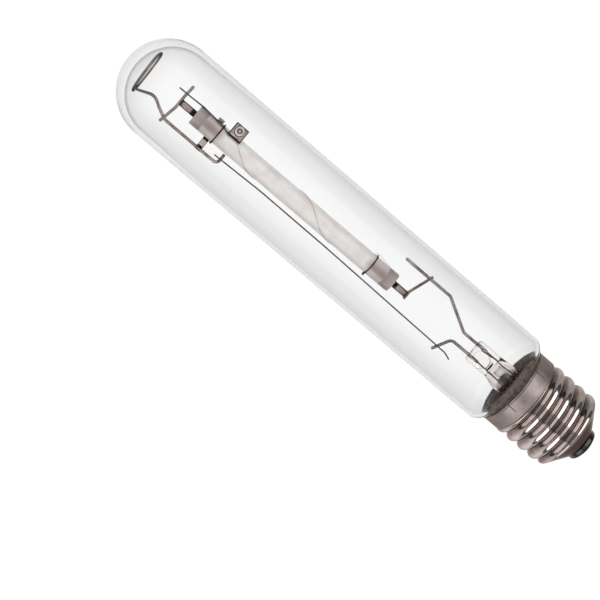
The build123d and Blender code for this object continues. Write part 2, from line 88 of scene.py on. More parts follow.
def startMaterial(name, **sockets):
    # A material with one Principled shader, its constant sockets set, and Object coordinates
    made = bpy.data.materials.new(name)
    tree = emptyTree(made)
    shader = add(tree, "BsdfPrincipled", None, {k.replace("_", " "): v for k, v in sockets.items()})
    output = add(tree, "OutputMaterial", None, {"Surface": shader.outputs[0]})
    place = add(tree, "TexCoord").outputs["Object"]
    return made, tree, shader, output, place


def patches(tree, place, sizeMm, detail=3.0):
    # Soft noise whose patches are sizeMm across
    inputs = {"Vector": place, "Scale": 1000 / sizeMm, "Detail": detail, "Roughness": 0.55}
    return add(tree, "TexNoise", None, inputs).outputs["Fac"]


def mottled(tree, spots, dark, light):
    # Two tones by a noise, which sits near its middle, so 0.3 to 0.7 of it is opened to the whole range
    return add(tree, "ValToRGB", None, {"Fac": spots}, [(0.3, dark), (0.7, light)]).outputs[0]


def clouded(tree, place, colour, sizeMm, detail, dark):
    # The colour made darker in soft patches, down to dark times itself
    cloud = mottled(tree, patches(tree, place, sizeMm, detail), dark, "#ffffff")
    return add(tree, "Mix", timesColour, {"Factor": 1.0, 6: colour, 7: cloud}).outputs[2]


def awayFrom(tree, along, middleMm):
    # How far a coordinate is from a middle, either way
    offset = add(tree, "Math", {"operation": "SUBTRACT"}, {0: along, 1: middleMm / 1000}).outputs[0]
    return add(tree, "Math", {"operation": "ABSOLUTE"}, {0: offset}).outputs[0]


def bumped(tree, shader, height, depthMm):
    # Relief that is depthMm deep between heights 0 and 1
    bump = add(tree, "Bump", None, {"Height": height, "Distance": depthMm / 1000, "Strength": 1.0})
    tree.links.new(bump.outputs[0], shader.inputs["Normal"])


def dressed(tree, shader, colour, grain, smoothest, roughest, bumpMm):
    # Gives the shader its colour, and a roughness and relief that both follow the grain
    rough = add(tree, "MapRange", None, {"Value": grain, **span(0.3, 0.7, smoothest, roughest)})
    tree.links.new(colour, shader.inputs["Base Color"])
    tree.links.new(rough.outputs[0], shader.inputs["Roughness"])
    bumped(tree, shader, grain, bumpMm)


def drawnMetal(name, dark, light, roughness, patchMm, grainMm, bumpMm):
    # Cold-drawn or rolled metal: stains some millimetres long and a fine grain that breaks up the gloss. Its
    # Specular Tint is low, because the oxide on it dulls what it reflects along its edges.
    made, tree, shader, output, place = startMaterial(name, Metallic=1.0, Specular_Tint=linear("#2f2a28"))
    colour = mottled(tree, patches(tree, place, patchMm, 4.0), dark, light)
    grain = patches(tree, place, grainMm, 2.0)
    dressed(tree, shader, colour, grain, roughness * 0.75, roughness * 1.3, bumpMm)
    return made


def mineral(name, dark, light, roughness, patchMm, bumpMm, **sockets):
    # Pressed, baked or moulded mineral: two tones in patches and a fine relief
    made, tree, shader, output, place = startMaterial(name, **sockets)
    spots = patches(tree, place, patchMm, 5.0)
    colour = mottled(tree, spots, dark, light)
    dressed(tree, shader, colour, spots, roughness * 0.85, min(1.0, roughness * 1.15), bumpMm)
    return made


def clearGlass(name, look):
    # Fire-polished glass with slow waves: clear face on, with painted shade that makes it cooler and greyer where it
    # is seen along its surface.
    # At its foot, below brownX, it is stained brown in patches, up to brownLean further on its upper side, and
    # film is how far cement smeared on it hides it. Beyond thickX the wall is thicker, and its inside, which is
    # nearer than insideRadius to the axis or to the dome's middle, gets a painted dark line of shade where it is seen
    # edge on.
    made, tree, shader, output, place = startMaterial(
        name, Transmission_Weight=1.0, Roughness=0.0, IOR=look["ior"], Specular_Tint=linear(look["gleam"])
    )
    facing = add(tree, "LayerWeight", None, {"Blend": 0.5}).outputs["Facing"]
    where = add(tree, "SeparateXYZ", None, {0: place}).outputs
    # Painted shade: the tint greys from face on towards where the glass is seen along its surface
    clean = add(tree, "ValToRGB", None, {"Fac": facing}, look["edgeShadeTints"]).outputs[0]

    thickX, radius = look["thickX"] / 1000, look["insideRadius"] / 1000
    thick = add(tree, "MapRange", None, {"Value": where["X"], **span(thickX, thickX + 0.03)}).outputs[0]
    past = add(tree, "Math", {"operation": "SUBTRACT"}, {0: where["X"], 1: look["domeX"] / 1000}).outputs[0]
    past = add(tree, "Math", {"operation": "MAXIMUM"}, {0: past, 1: 0.0}).outputs[0]
    spoke = add(tree, "CombineXYZ", None, {"X": past, "Y": where["Y"], "Z": where["Z"]}).outputs[0]
    reach = add(tree, "VectorMath", {"operation": "LENGTH"}, {0: spoke}).outputs["Value"]
    inside = add(tree, "MapRange", None, {"Value": reach, **span(radius - 0.0004, radius + 0.0004, 1.0, 0.0)})
    thick = add(tree, "Math", {"operation": "MULTIPLY"}, {0: thick, 1: inside.outputs[0]}).outputs[0]
    # Painted shade: a dark line where the thick wall's inside is seen edge on
    edgeOnShade = add(tree, "ValToRGB", None, {"Fac": facing}, [(0.62, "#ffffff"), (0.86, look["edge"])]).outputs[0]
    clean = add(tree, "Mix", timesColour, {"Factor": thick, 6: clean, 7: edgeOnShade}).outputs[2]

    brownX, spots = look["brownX"] / 1000, patches(tree, place, 2.2, 5.0)
    ragged = add(tree, "Math", {"operation": "MULTIPLY_ADD"}, {0: spots, 1: 0.002, 2: where["X"]}).outputs[0]
    higher = {"Value": where["Z"], **span(0.009, 0.019, 0.0, look["brownLean"] / 1000)}
    higher = add(tree, "MapRange", None, higher).outputs[0]
    ragged = add(tree, "Math", {"operation": "SUBTRACT"}, {0: ragged, 1: higher}).outputs[0]
    atFoot = add(tree, "MapRange", None, {"Value": ragged, **span(brownX, brownX + 0.001, 1.0, 0.0)}).outputs[0]
    brown = mottled(tree, spots, *look["browns"])
    colour = add(tree, "Mix", timesColour, {"Factor": atFoot, 6: clean, 7: brown}).outputs[2]
    tree.links.new(colour, shader.inputs["Base Color"])
    bumped(tree, shader, patches(tree, place, look["waveMm"], 1.0), look["waveDepthMm"])
    film = add(tree, "BsdfDiffuse", None, {"Color": brown})
    cover = add(tree, "Math", {"operation": "MULTIPLY"}, {0: atFoot, 1: look["film"]}).outputs[0]
    seen = add(tree, "MixShader", None, {0: cover, 1: shader.outputs[0], 2: film.outputs[0]})

    # Lamp light passes straight through, because a path tracer would leave the inside in shadow
    rays = add(tree, "LightPath").outputs
    through = add(tree, "BsdfTransparent", None, {"Color": linear("#f2f4f4")})
    lampRays = {0: rays["Is Shadow Ray"], 1: rays["Is Diffuse Ray"]}
    lampRays = add(tree, "Math", {"operation": "MAXIMUM"}, lampRays).outputs[0]
    mix = add(tree, "MixShader", None, {0: lampRays, 1: seen.outputs[0], 2: through.outputs[0]})
    tree.links.new(mix.outputs[0], output.inputs["Surface"])
    return made


# Materials, each named for what it really is and how it was made

# Borosilicate glass, blown: water-clear with faint drawing waves along it, and painted shade that greys it at its
# edges
blownGlass = clearGlass(
    "borosilicateGlassBlown",
    {
        # Clear face on and greyer where seen along the surface: painted shade
        "edgeShadeTints": [
            (0.0, "#ffffff"),
            (0.1, "#fbfbfb"),
            (0.2, "#f7f7f7"),
            (0.36, "#f1f1f2"),
            (0.6, "#e2e3e5"),
            (1.0, "#b9bcc0"),
        ],
        "ior": 1.47,
        "gleam": "#4a4b4c",
        "waveMm": 60,
        "waveDepthMm": 0.02,
        "brownX": 45.8,
        "brownLean": 6.2,
        "browns": ("#544843", "#8b7d76"),
        "film": 0.6,
        "thickX": 222.0,
        "domeX": 245.7,
        "insideRadius": 22.3,
        # Nearly black: the painted line of shade inside the thick dome wall
        "edge": "#181a1c",
    },
)
# The stem is softened and pinched in jaws, so its surface ripples every few millimetres. Its IOR is lower than
# lead glass has, so that the stem stays as clear as it looks.
pressedGlass = clearGlass(
    "leadGlassPressed",
    {
        # Greyer and browner where the stem is seen along its surface: painted shade
        "edgeShadeTints": [(0.0, "#faf8f7"), (0.5, "#e0dad8"), (1.0, "#8d8380")],
        "ior": 1.35,
        "gleam": "#e6e6e6",
        "waveMm": 3.2,
        "waveDepthMm": 0.05,
        "brownX": 50.0,
        "brownLean": 0.0,
        "browns": ("#9a8d88", "#beb2ac"),
        "film": 0.0,
        "thickX": 60.0,
        "domeX": 300.0,
        "insideRadius": 22.3,
        # The painted line of shade where the press, past thickX, is seen edge on
        "edge": "#a89e9a",
    },
)
# Nickel-plated steel wire, drawn: satin, brownish grey, with darker heat stains from welding
platedWire = drawnMetal("nickelPlatedWireDrawn", "#3f3634", "#7c706c", 0.26, 6.0, 0.35, 0.01)
# A lighter copy of the plated wire for the crossbar: painted light, against the dark surroundings it reflects
crossbarLitWire = drawnMetal("nickelPlatedWirePaintedLight", "#5f5553", "#958a86", 0.3, 5.0, 0.35, 0.01)
# Fine wires that ran hot during sealing are darker and duller
firedWire = drawnMetal("nickelWireHeatDarkened", "#191312", "#4a403d", 0.3, 4.0, 0.3, 0.01)
# Oxidised seal wire: red brown under the glass
sealWire = drawnMetal("copperSheathedSealWire", "#2a1d19", "#5a4038", 0.45, 2.0, 0.3, 0.01)
# Very fine tungsten wire, cleaned: light grey against the white tube
fineTungsten = drawnMetal("tungstenWireCleaned", "#847976", "#b3a8a5", 0.4, 3.0, 0.2, 0.004)
# The electrodes' rods and coils, drawn: satin and dark grey from the heat
tungstenWire = drawnMetal("tungstenDrawn", "#2c2928", "#55504e", 0.4, 2.0, 0.2, 0.008)
# Brass sheet, pressed: pale yellow and rubbed bright
brassContact = drawnMetal("brassSheetPressed", "#a98f55", "#d6c088", 0.28, 5.0, 0.4, 0.01)
# Soft solder, melted in the eyelet: silvery, with a slightly lumpy skin
softSolder = drawnMetal("softSolderMelted", "#8d8f92", "#c8cacc", 0.26, 1.6, 0.6, 0.06)
# Alumina plugs, pressed and sintered: matt and greyer than the tube
aluminaPlug = mineral("aluminaPlugSintered", "#9a8e8b", "#b8adaa", 0.6, 1.5, 0.02)
# Sealing glass, fused: a brownish, half glossy fillet
sealingGlass = mineral("sealingGlassFused", "#8b7a70", "#b09f94", 0.3, 1.0, 0.02)
# Capping cement, baked: mottled brown grey with a rough face
cappingCement = mineral("cappingCementBaked", "#54453e", "#ab988d", 0.8, 1.6, 0.15)
# Black moulded glass: nearly black, brown by strong light, with a waxy gloss
blackGlass = mineral("blackGlassMoulded", "#0b0a08", "#1f1c18", 0.24, 2.0, 0.03, Coat_Weight=0.4, Coat_Roughness=0.12)


def rolledCapMetal():
    # Nickel-plated brass, rolled between dies: mirror-like on the thread with fine rings from the rolling,
    # softer on the skirt, with painted shade darkening it down in the thread's roots
    look = {
        "crest": "#e6dcd8",
        "face": "#b5a9a5",
        "root": "#746866",
        "skirt": ("#897d7a", "#aba09c"),
        "threadGloss": (0.10, 0.20),
        "skirtGloss": (0.42, 0.54),
        "ringMm": 1.0,
        "rootToCrest": (17.7, 19.7),
        "skirtX": (36.2, 37.5),
    }
    made, tree, shader, output, place = startMaterial(
        "nickelPlatedBrassRolled", Metallic=1.0, Specular_Tint=linear("#c4bab6")
    )
    axes = add(tree, "SeparateXYZ", None, {0: place}).outputs
    flat = add(tree, "CombineXYZ", None, {"Y": axes["Y"], "Z": axes["Z"]}).outputs[0]
    distance = add(tree, "VectorMath", {"operation": "LENGTH"}, {0: flat}).outputs["Value"]
    (root, crest), (skirtFrom, skirtTo) = look["rootToCrest"], look["skirtX"]
    lift = add(tree, "MapRange", None, {"Value": distance, **span(root / 1000, crest / 1000)}).outputs[0]
    onSkirt = {"Value": axes["X"], **span(skirtFrom / 1000, skirtTo / 1000)}
    onSkirt = add(tree, "MapRange", None, onSkirt).outputs[0]
    stain, speck = patches(tree, place, 7.0, 5.0), patches(tree, place, 0.8, 3.0)
    # Painted shade: darkest down in the thread's roots, palest on the crests
    heights = [(0.0, look["root"]), (0.35, look["face"]), (1.0, look["crest"])]
    rootShadeByHeight = add(tree, "ValToRGB", None, {"Fac": lift}, heights).outputs[0]
    byStain = mottled(tree, stain, "#cfc5c2", "#ffffff")
    rootShadeAndStain = add(tree, "Mix", timesColour, {"Factor": 0.8, 6: rootShadeByHeight, 7: byStain}).outputs[2]
    skirt = mottled(tree, stain, *look["skirt"])
    colour = add(tree, "Mix", {"data_type": "RGBA"}, {"Factor": onSkirt, 6: rootShadeAndStain, 7: skirt}).outputs[2]
    tree.links.new(colour, shader.inputs["Base Color"])
    glosses = [
        add(tree, "MapRange", None, {"Value": speck, **span(0.3, 0.7, *look[key])}).outputs[0]
        for key in ("threadGloss", "skirtGloss")
    ]
    gloss = add(tree, "Mix", None, {"Factor": onSkirt, 2: glosses[0], 3: glosses[1]})
    tree.links.new(gloss.outputs[0], shader.inputs["Roughness"])
    rings = add(
        tree,
        "TexWave",
        {"wave_type": "BANDS", "bands_direction": "X"},
        {"Vector": place, "Scale": 1000 / look["ringMm"] / 20 * math.pi, "Distortion": 1.2, "Detail": 2.0},
    ).outputs["Fac"]
    both = add(tree, "Math", {"operation": "MULTIPLY_ADD"}, {0: speck, 1: 0.6, 2: rings}).outputs[0]
    bumped(tree, shader, both, 0.004)
    return made


capMetal = rolledCapMetal()


def sinteredAlumina():
    # Translucent alumina tube: milky and warm. The plugs, and the electrodes behind the wall, show through as
    # soft darker zones, so its colour follows the distance from the tube's middle.
    look = {"middle": "#faf0eb", "plug": "#8a7b78", "rodShadow": "#b0a4a0", "centre": 174.05}
    look.update({"from": 30.0, "halfLength": 57.15, "shadowSharp": 0.5, "shadowGone": 3.6})
    made, tree, shader, output, place = startMaterial(
        "aluminaTubeSintered", Roughness=0.42, Subsurface_Weight=0.35, Subsurface_Scale=0.003, IOR=1.6
    )
    shader.inputs["Subsurface Radius"].default_value = (1.0, 0.9, 0.85)
    axes = add(tree, "SeparateXYZ", None, {0: place}).outputs
    away = awayFrom(tree, axes["X"], look["centre"])
    share = {"Value": away, **span(look["from"] / 1000, look["halfLength"] / 1000)}
    share = add(tree, "MapRange", None, share).outputs[0]
    stops = [
        (0.0, look["middle"]),
        (0.40, "#f2e9e5"),
        (0.56, "#d9cdc9"),
        (0.80, "#cfc2be"),
        (0.825, look["plug"]),
        (1.0, "#ab9d99"),
    ]
    tone = clouded(tree, place, add(tree, "ValToRGB", None, {"Fac": share}, stops).outputs[0], 5.0, 3.0, "#efe9e7")
    # The electrode's blurred shadow: darkest on the axis, over the stretch where the rod stands
    side = add(tree, "Math", {"operation": "ABSOLUTE"}, {0: axes["Y"]}).outputs[0]
    soft = {"interpolation_type": "SMOOTHSTEP"}
    onAxis = {"Value": side, **span(look["shadowSharp"] / 1000, look["shadowGone"] / 1000, 1.0, 0.0)}
    onAxis = add(tree, "MapRange", soft, onAxis).outputs[0]
    stops = [(0.40, "#000000"), (0.56, "#ffffff"), (0.80, "#ffffff"), (0.83, "#555555")]
    onRod = add(tree, "ValToRGB", None, {"Fac": share}, stops).outputs[0]
    both = add(tree, "Math", {"operation": "MULTIPLY"}, {0: onAxis, 1: onRod}).outputs[0]
    shadow = {"Factor": both, 6: tone, 7: linear(look["rodShadow"])}
    colour = add(tree, "Mix", timesColour, shadow).outputs[2]
    tree.links.new(colour, shader.inputs["Base Color"])
    bumped(tree, shader, patches(tree, place, 0.5, 2.0), 0.01)
    return made


aluminaTube = sinteredAlumina()


def firedNiobium():
    # Niobium tube, drawn and fired in vacuum: dull warm grey, blackened by the furnace next to the arc tube
    # and where the dome's end is welded
    look = {"centre": 174.05, "from": 57.0, "to": 65.4, "black": "#15110f", "grey": "#786c69", "weld": "#2b2422"}
    made, tree, shader, output, place = startMaterial(
        "niobiumTubeDrawn", Metallic=1.0, Specular_Tint=linear("#4c4442")
    )
    away = awayFrom(tree, add(tree, "SeparateXYZ", None, {0: place}).outputs["X"], look["centre"])
    share = {"Value": away, **span(look["from"] / 1000, look["to"] / 1000)}
    share = add(tree, "MapRange", None, share).outputs[0]
    black, grey = look["black"], look["grey"]
    stops = [(0.0, black), (0.25, black), (0.34, grey), (0.82, grey), (0.9, look["weld"])]
    ends = add(tree, "ValToRGB", None, {"Fac": share}, stops).outputs[0]
    colour = clouded(tree, place, ends, 2.5, 4.0, "#c4bab7")
    dressed(tree, shader, colour, patches(tree, place, 0.4, 3.0), 0.28, 0.4, 0.01)
    return made


niobiumTube = firedNiobium()


def strapWithPaintedShade():
    # Nickel strip with painted shade, nearly black, in two bands across it: beside the arc tube and beside the support
    # wire, where it bends round them
    look = {"from": 4.6, "to": 10.6, "paintedShade": "#17110f", "face": "#9d918e"}
    made, tree, shader, output, place = startMaterial(
        "nickelStripShadeBands", Metallic=1.0, Specular_Tint=linear("#4c4442")
    )
    across = add(tree, "SeparateXYZ", None, {0: place}).outputs["Y"]
    share = {"Value": across, **span(look["from"] / 1000, look["to"] / 1000)}
    share = add(tree, "MapRange", None, share).outputs[0]
    paintedShade, face = look["paintedShade"], look["face"]
    # Painted shade: dark bands where the strip bends round the arc tube and round the support wire
    stops = [(0.0, face), (0.02, paintedShade), (0.16, paintedShade), (0.24, face), (0.66, face), (0.74, paintedShade), (1.0, paintedShade)]
    shadeBands = add(tree, "ValToRGB", None, {"Fac": share}, stops).outputs[0]
    colour = clouded(tree, place, shadeBands, 1.5, 4.0, "#c4bab7")
    dressed(tree, shader, colour, patches(tree, place, 0.3, 2.0), 0.28, 0.42, 0.012)
    return made


strapShaded = strapWithPaintedShade()


def flagWithEdgeShade():
    # Nickel strip of the getter's flag: light and satin inside, with painted shade, dark, along its edges
    look = {"X": (211.85, 3.4), "Y": (-6.2, 3.2), "edge": "#1c1614", "face": "#a39794"}
    made, tree, shader, output, place = startMaterial(
        "nickelStripEdgeShade", Metallic=1.0, Specular_Tint=linear("#6f6664")
    )
    axes = add(tree, "SeparateXYZ", None, {0: place}).outputs
    shares = []
    for axis in ("X", "Y"):
        middle, half = look[axis]
        away = awayFrom(tree, axes[axis], middle)
        shares.append(add(tree, "Math", {"operation": "DIVIDE"}, {0: away, 1: half / 1000}).outputs[0])
    most = add(tree, "Math", {"operation": "MAXIMUM"}, {0: shares[0], 1: shares[1]}).outputs[0]
    # Painted shade: a dark band along the flag's edges
    edge = add(tree, "ValToRGB", None, {"Fac": most}, [(0.80, look["face"]), (0.88, look["edge"])]).outputs[0]
    colour = clouded(tree, place, edge, 1.4, 4.0, "#b9aeab")
    dressed(tree, shader, colour, patches(tree, place, 0.4, 2.0), 0.42, 0.56, 0.015)
    return made


flagStrip = flagWithEdgeShade()


def pressedPill():
    # Getter powder pressed in a steel channel: rings by radius, light on the rolled steel edge and dark on the
    # granular powder, with painted shade darkening the groove and the outer sloping side
    look = {"x": 211.85, "y": -6.9, "radius": 2.5}
    made, tree, shader, output, place = startMaterial("getterPowderPressed", Metallic=0.7)
    axes = add(tree, "SeparateXYZ", None, {0: place}).outputs
    x, y = awayFrom(tree, axes["X"], look["x"]), awayFrom(tree, axes["Y"], look["y"])
    flat = add(tree, "CombineXYZ", None, {"X": x, "Y": y}).outputs[0]
    distance = add(tree, "VectorMath", {"operation": "LENGTH"}, {0: flat}).outputs["Value"]
    share = add(tree, "MapRange", None, {"Value": distance, **span(0.0, look["radius"] / 1000)}).outputs[0]
    # The dark rings are partly the powder's colour and partly painted shade: in the groove and on the outer sloping
    # side
    stops = [
        (0.0, "#c2b6b3"),
        (0.22, "#a89c99"),
        (0.30, "#4b413f"),
        (0.50, "#6b5f5c"),
        (0.58, "#cfc4c1"),
        (0.80, "#c9bebb"),
        (0.88, "#3a312f"),
        (1.0, "#2c2523"),
    ]
    rings = add(tree, "ValToRGB", None, {"Fac": share}, stops).outputs[0]
    colour = clouded(tree, place, rings, 0.35, 5.0, "#a99e9b")
    dressed(tree, shader, colour, patches(tree, place, 0.35, 5.0), 0.35, 0.6, 0.04)
    return made


getterPowder = pressedPill()
print("materials made")

# Shape helpers

def roundedLine(corners, bends, stepDegrees=7.0):
    # Straight runs with arcs at the corners: an arc starts bend * tan(half the turn) before its corner and is
    # start + bend * (sin t * first direction + (1 - cos t) * the way it turns)
    corners = [np.array(c, float) for c in corners]
    bends = [bends] * (len(corners) - 2) if np.isscalar(bends) else bends
    line = [corners[0][None]]
    for before, corner, after, bend in zip(corners, corners[1:], corners[2:], bends):
        first = (corner - before) / np.linalg.norm(corner - before)
        second = (after - corner) / np.linalg.norm(after - corner)
        turn = math.acos(np.clip(first @ second, -1, 1))
        across = second - (second @ first) * first
        across = across / np.linalg.norm(across)
        t = np.linspace(0, turn, int(math.degrees(turn) / stepDegrees) + 3)[:, None]
        start = corner - first * bend * math.tan(turn / 2)
        line.append(start + bend * (np.sin(t) * first + (1 - np.cos(t)) * across))
    line.append(corners[-1][None])
    return np.concatenate(line)


def inset(corners, amount):
    # Moves a line of corners to its right, keeping each run parallel to its old place
    corners = np.array(corners, float)
    runs = np.arctan2(*np.diff(corners, axis=0).T[::-1])
    a = np.concatenate([runs[:1], runs])
    b = np.concatenate([runs, runs[-1:]])
    share = amount / (1 + np.cos(a - b))
    return corners + np.stack([share * (np.sin(a) + np.sin(b)), -share * (np.cos(a) + np.cos(b))], 1)


def gridOf(points, around=True, along=False):
    # Quads between neighbours of a rows by columns grid of points, closed across the columns and rows if asked
    rows, columns = points.shape[:2]
    index = np.arange(rows * columns).reshape(rows, columns)
    if around:
        index = np.concatenate([index, index[:, :1]], 1)
    if along:
        index = np.concatenate([index, index[:1]], 0)
    quads = np.stack([index[:-1, :-1], index[:-1, 1:], index[1:, 1:], index[1:, :-1]], -1).reshape(-1, 4)
    return points.reshape(-1, 3), quads


def lathe(profile, turns=96, closed=False, centre=(0, 0, 0), upright=False):
    # (x, r) turned about the X axis: (x, r cos a, r sin a), or about Z if upright: (r cos a, r sin a, x)
    profile = np.array(profile, float)
    a = np.linspace(0, 2 * np.pi, turns, endpoint=False)
    x = profile[:, :1] + 0 * a
    y, z = profile[:, 1:] * np.cos(a), profile[:, 1:] * np.sin(a)
    points = np.stack([y, z, x] if upright else [x, y, z], -1) + np.array(centre, float)
    return gridOf(points, along=closed)


def directions(path):
    # At each point, the mean of the directions of the runs before and after it
    runs = np.diff(path, axis=0)
    runs = runs / np.linalg.norm(runs, axis=1, keepdims=True)
    mean = np.concatenate([runs[:1], runs[:-1] + runs[1:], runs[-1:]])
    return mean / np.linalg.norm(mean, axis=1, keepdims=True)


def sweep(path, section, lean, edge=0.0, sizes=None):
    # section (s, n) carried along the path: point + s * side + n * up, where side is lean made square to the
    # path and up is direction x side. edge draws the two ends in over that length, so that they look cut.
    path, section, lean = np.array(path, float), np.array(section, float), np.array(lean, float)
    along = directions(path)
    sizes = np.ones(len(path)) if sizes is None else sizes
    ends = [path[:1], path[:1], path[:1] + along[:1] * edge, path[1:-1]]
    ends += [path[-1:] - along[-1:] * edge, path[-1:], path[-1:]]
    way = np.concatenate([along[:1]] * 3 + [along[1:-1]] + [along[-1:]] * 3)
    first, last, drawnIn = sizes[0], sizes[-1], 1 - 0.25 * (edge > 0)
    scale = np.concatenate([[0, first * drawnIn, first], sizes[1:-1], [last, last * drawnIn, 0]])
    side = lean - (way @ lean)[:, None] * way
    side = side / np.linalg.norm(side, axis=1, keepdims=True)
    up = np.cross(way, side)
    spread = section[None, :, :1] * side[:, None] + section[None, :, 1:] * up[:, None]
    return gridOf(np.concatenate(ends)[:, None] + scale[:, None, None] * spread)


def circle(radius, sides=20):
    # (radius cos a, radius sin a)
    a = np.linspace(0, 2 * np.pi, sides, endpoint=False)
    return np.stack([radius * np.cos(a), radius * np.sin(a)], 1)


def flatBar(width, thickness, corner):
    # A width by thickness rectangle with rounded corners: corner circles moved out to the four corners
    a = np.linspace(0, 2 * np.pi, 16, endpoint=False) + np.pi / 16
    s = np.sign(np.cos(a)) * (width / 2 - corner) + corner * np.cos(a)
    n = np.sign(np.sin(a)) * (thickness / 2 - corner) + corner * np.sin(a)
    return np.stack([s, n], 1)


def loopOf(corners, bend):
    # A closed outline with every corner rounded alike
    corners = [tuple(c) for c in corners]
    return roundedLine([corners[-1]] + corners + [corners[0]], bend, 20)[1:-1]


def smooth(t):
    # 0 below 0, 1 above 1 and 3 t^2 - 2 t^3 between
    t = np.clip(t, 0, 1)
    return t * t * (3 - 2 * t)


def makePiece(name, grids, material, slotName, *nodes, sharp=38):
    # Joins the grids, merges doubled points, turns the faces outwards and puts the piece on the frame
    shifts = np.cumsum([0] + [len(gridPoints) for gridPoints, gridQuads in grids])
    points = np.concatenate([gridPoints for gridPoints, gridQuads in grids]) / 1000
    quads = np.concatenate([gridQuads + shift for (gridPoints, gridQuads), shift in zip(grids, shifts)])
    mesh = bpy.data.meshes.new(name)
    mesh.from_pydata(points, [], quads.tolist())
    work = bmesh.new()
    work.from_mesh(mesh)
    bmesh.ops.remove_doubles(work, verts=work.verts, dist=2e-7)
    bmesh.ops.dissolve_degenerate(work, edges=work.edges, dist=1e-8)
    bmesh.ops.recalc_face_normals(work, faces=work.faces)
    work.to_mesh(mesh)
    work.free()
    mesh.shade_smooth()
    mesh.set_sharp_from_angle(angle=math.radians(sharp))
    mesh.materials.append(material)
    piece = bpy.data.objects.new(name, mesh)
    bpy.context.scene.collection.objects.link(piece)
    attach(piece, "root")
    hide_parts(*nodes)


def makeWire(name, corners, bends, radius, material, slotName, node, lean=(0, 0, 1), sides=20):
    # A round wire along the rounded line, its cut ends slightly drawn in
    grid = sweep(roundedLine(corners, bends), circle(radius, sides), lean, edge=0.3 * radius)
    makePiece(name, [grid], material, slotName, node)


# Outer bulb

bulb = {
    "length": 268.7,
    "radius": 23.0,
    "wall": 1.5,
    "neckEnd": 30.0,
    "neckRadius": 16.4,
    "shoulder": 49.2,
    "slope": 50.0,  # of the shoulder, in degrees
    "neckBend": 2.0,
    "shoulderBend": 5.0,
    "domeThickening": 0.8,
    "thickFrom": 205.0,
    "thickOver": 40.0,
    "tipWall": 3.7,
}


def bulbProfile():
    # Outside: neck, shoulder, tube and a half circle for the dome. Inside: the same moved in by the wall, which
    # thickens by a smooth step towards the dome and ends in an ellipse.
    radius, neck, wall = bulb["radius"], bulb["neckRadius"], bulb["wall"]
    foot = bulb["shoulder"] - (radius - neck) / math.tan(math.radians(bulb["slope"]))
    domeStart = bulb["length"] - radius
    corners = [(bulb["neckEnd"], neck), (foot, neck), (bulb["shoulder"], radius), (domeStart, radius)]
    outside = roundedLine(corners, [bulb["neckBend"], bulb["shoulderBend"]], 3.0)
    a = np.linspace(0, np.pi / 2, 48)
    dome = np.stack([domeStart + radius * np.sin(a), radius * np.cos(a)], 1)
    inner = roundedLine(inset(corners, wall), [bulb["neckBend"] + wall, bulb["shoulderBend"] - wall], 3.0)[:-1]
    boreRadius = radius - wall
    x = np.linspace(inner[-1, 0] + 2, domeStart - 1, 40)
    thicker = bulb["domeThickening"] * smooth((x - bulb["thickFrom"]) / bulb["thickOver"])
    tube = np.stack([x, boreRadius - thicker], 1)
    reach = bulb["length"] - bulb["tipWall"] - domeStart + 1
    end = boreRadius - bulb["domeThickening"]
    innerDome = np.stack([domeStart - 1 + reach * np.sin(a[1:]), end * np.cos(a[1:])], 1)
    straight = np.stack([np.linspace(outside[-2, 0], domeStart, 26)[1:-1], np.full(24, radius)], 1)
    return np.concatenate([dome[::-1], straight[::-1], outside[:-1][::-1], inner, tube, innerDome])


bulbLine = bulbProfile()
makePiece("bulbGlass", [lathe(bulbLine, 160)], blownGlass, "clear_glass", "outer_bulb")
print("bulb made")

# Glass stem with its press, and the exhaust tube

stem = {
    "lipStart": 28.85,
    "tubeRadius": 6.75,
    "wall": 1.15,
    "tubeTop": 50.0,
    "pressStart": 58.3,
    "pressEnd": 69.5,
    "pressWidth": 11.3,
    "pressThickness": 5.2,
    "pressOffAxis": -0.7,
    "endRound": 1.6,
    "waist": 0.2,
    "waistX": 58.6,
    "dishDepth": 0.9,
    "dishX": 63.4,
    "dishY": 0.3,
    "dishLength": 9.8,
    "dishWidth": 6.8,
    "boreEnd": [(7.5, 0.0, 0.0), (7.2, 3.7, 0.9), (5.5, 4.9, 2.35)],  # past tubeTop, half width and half height
}


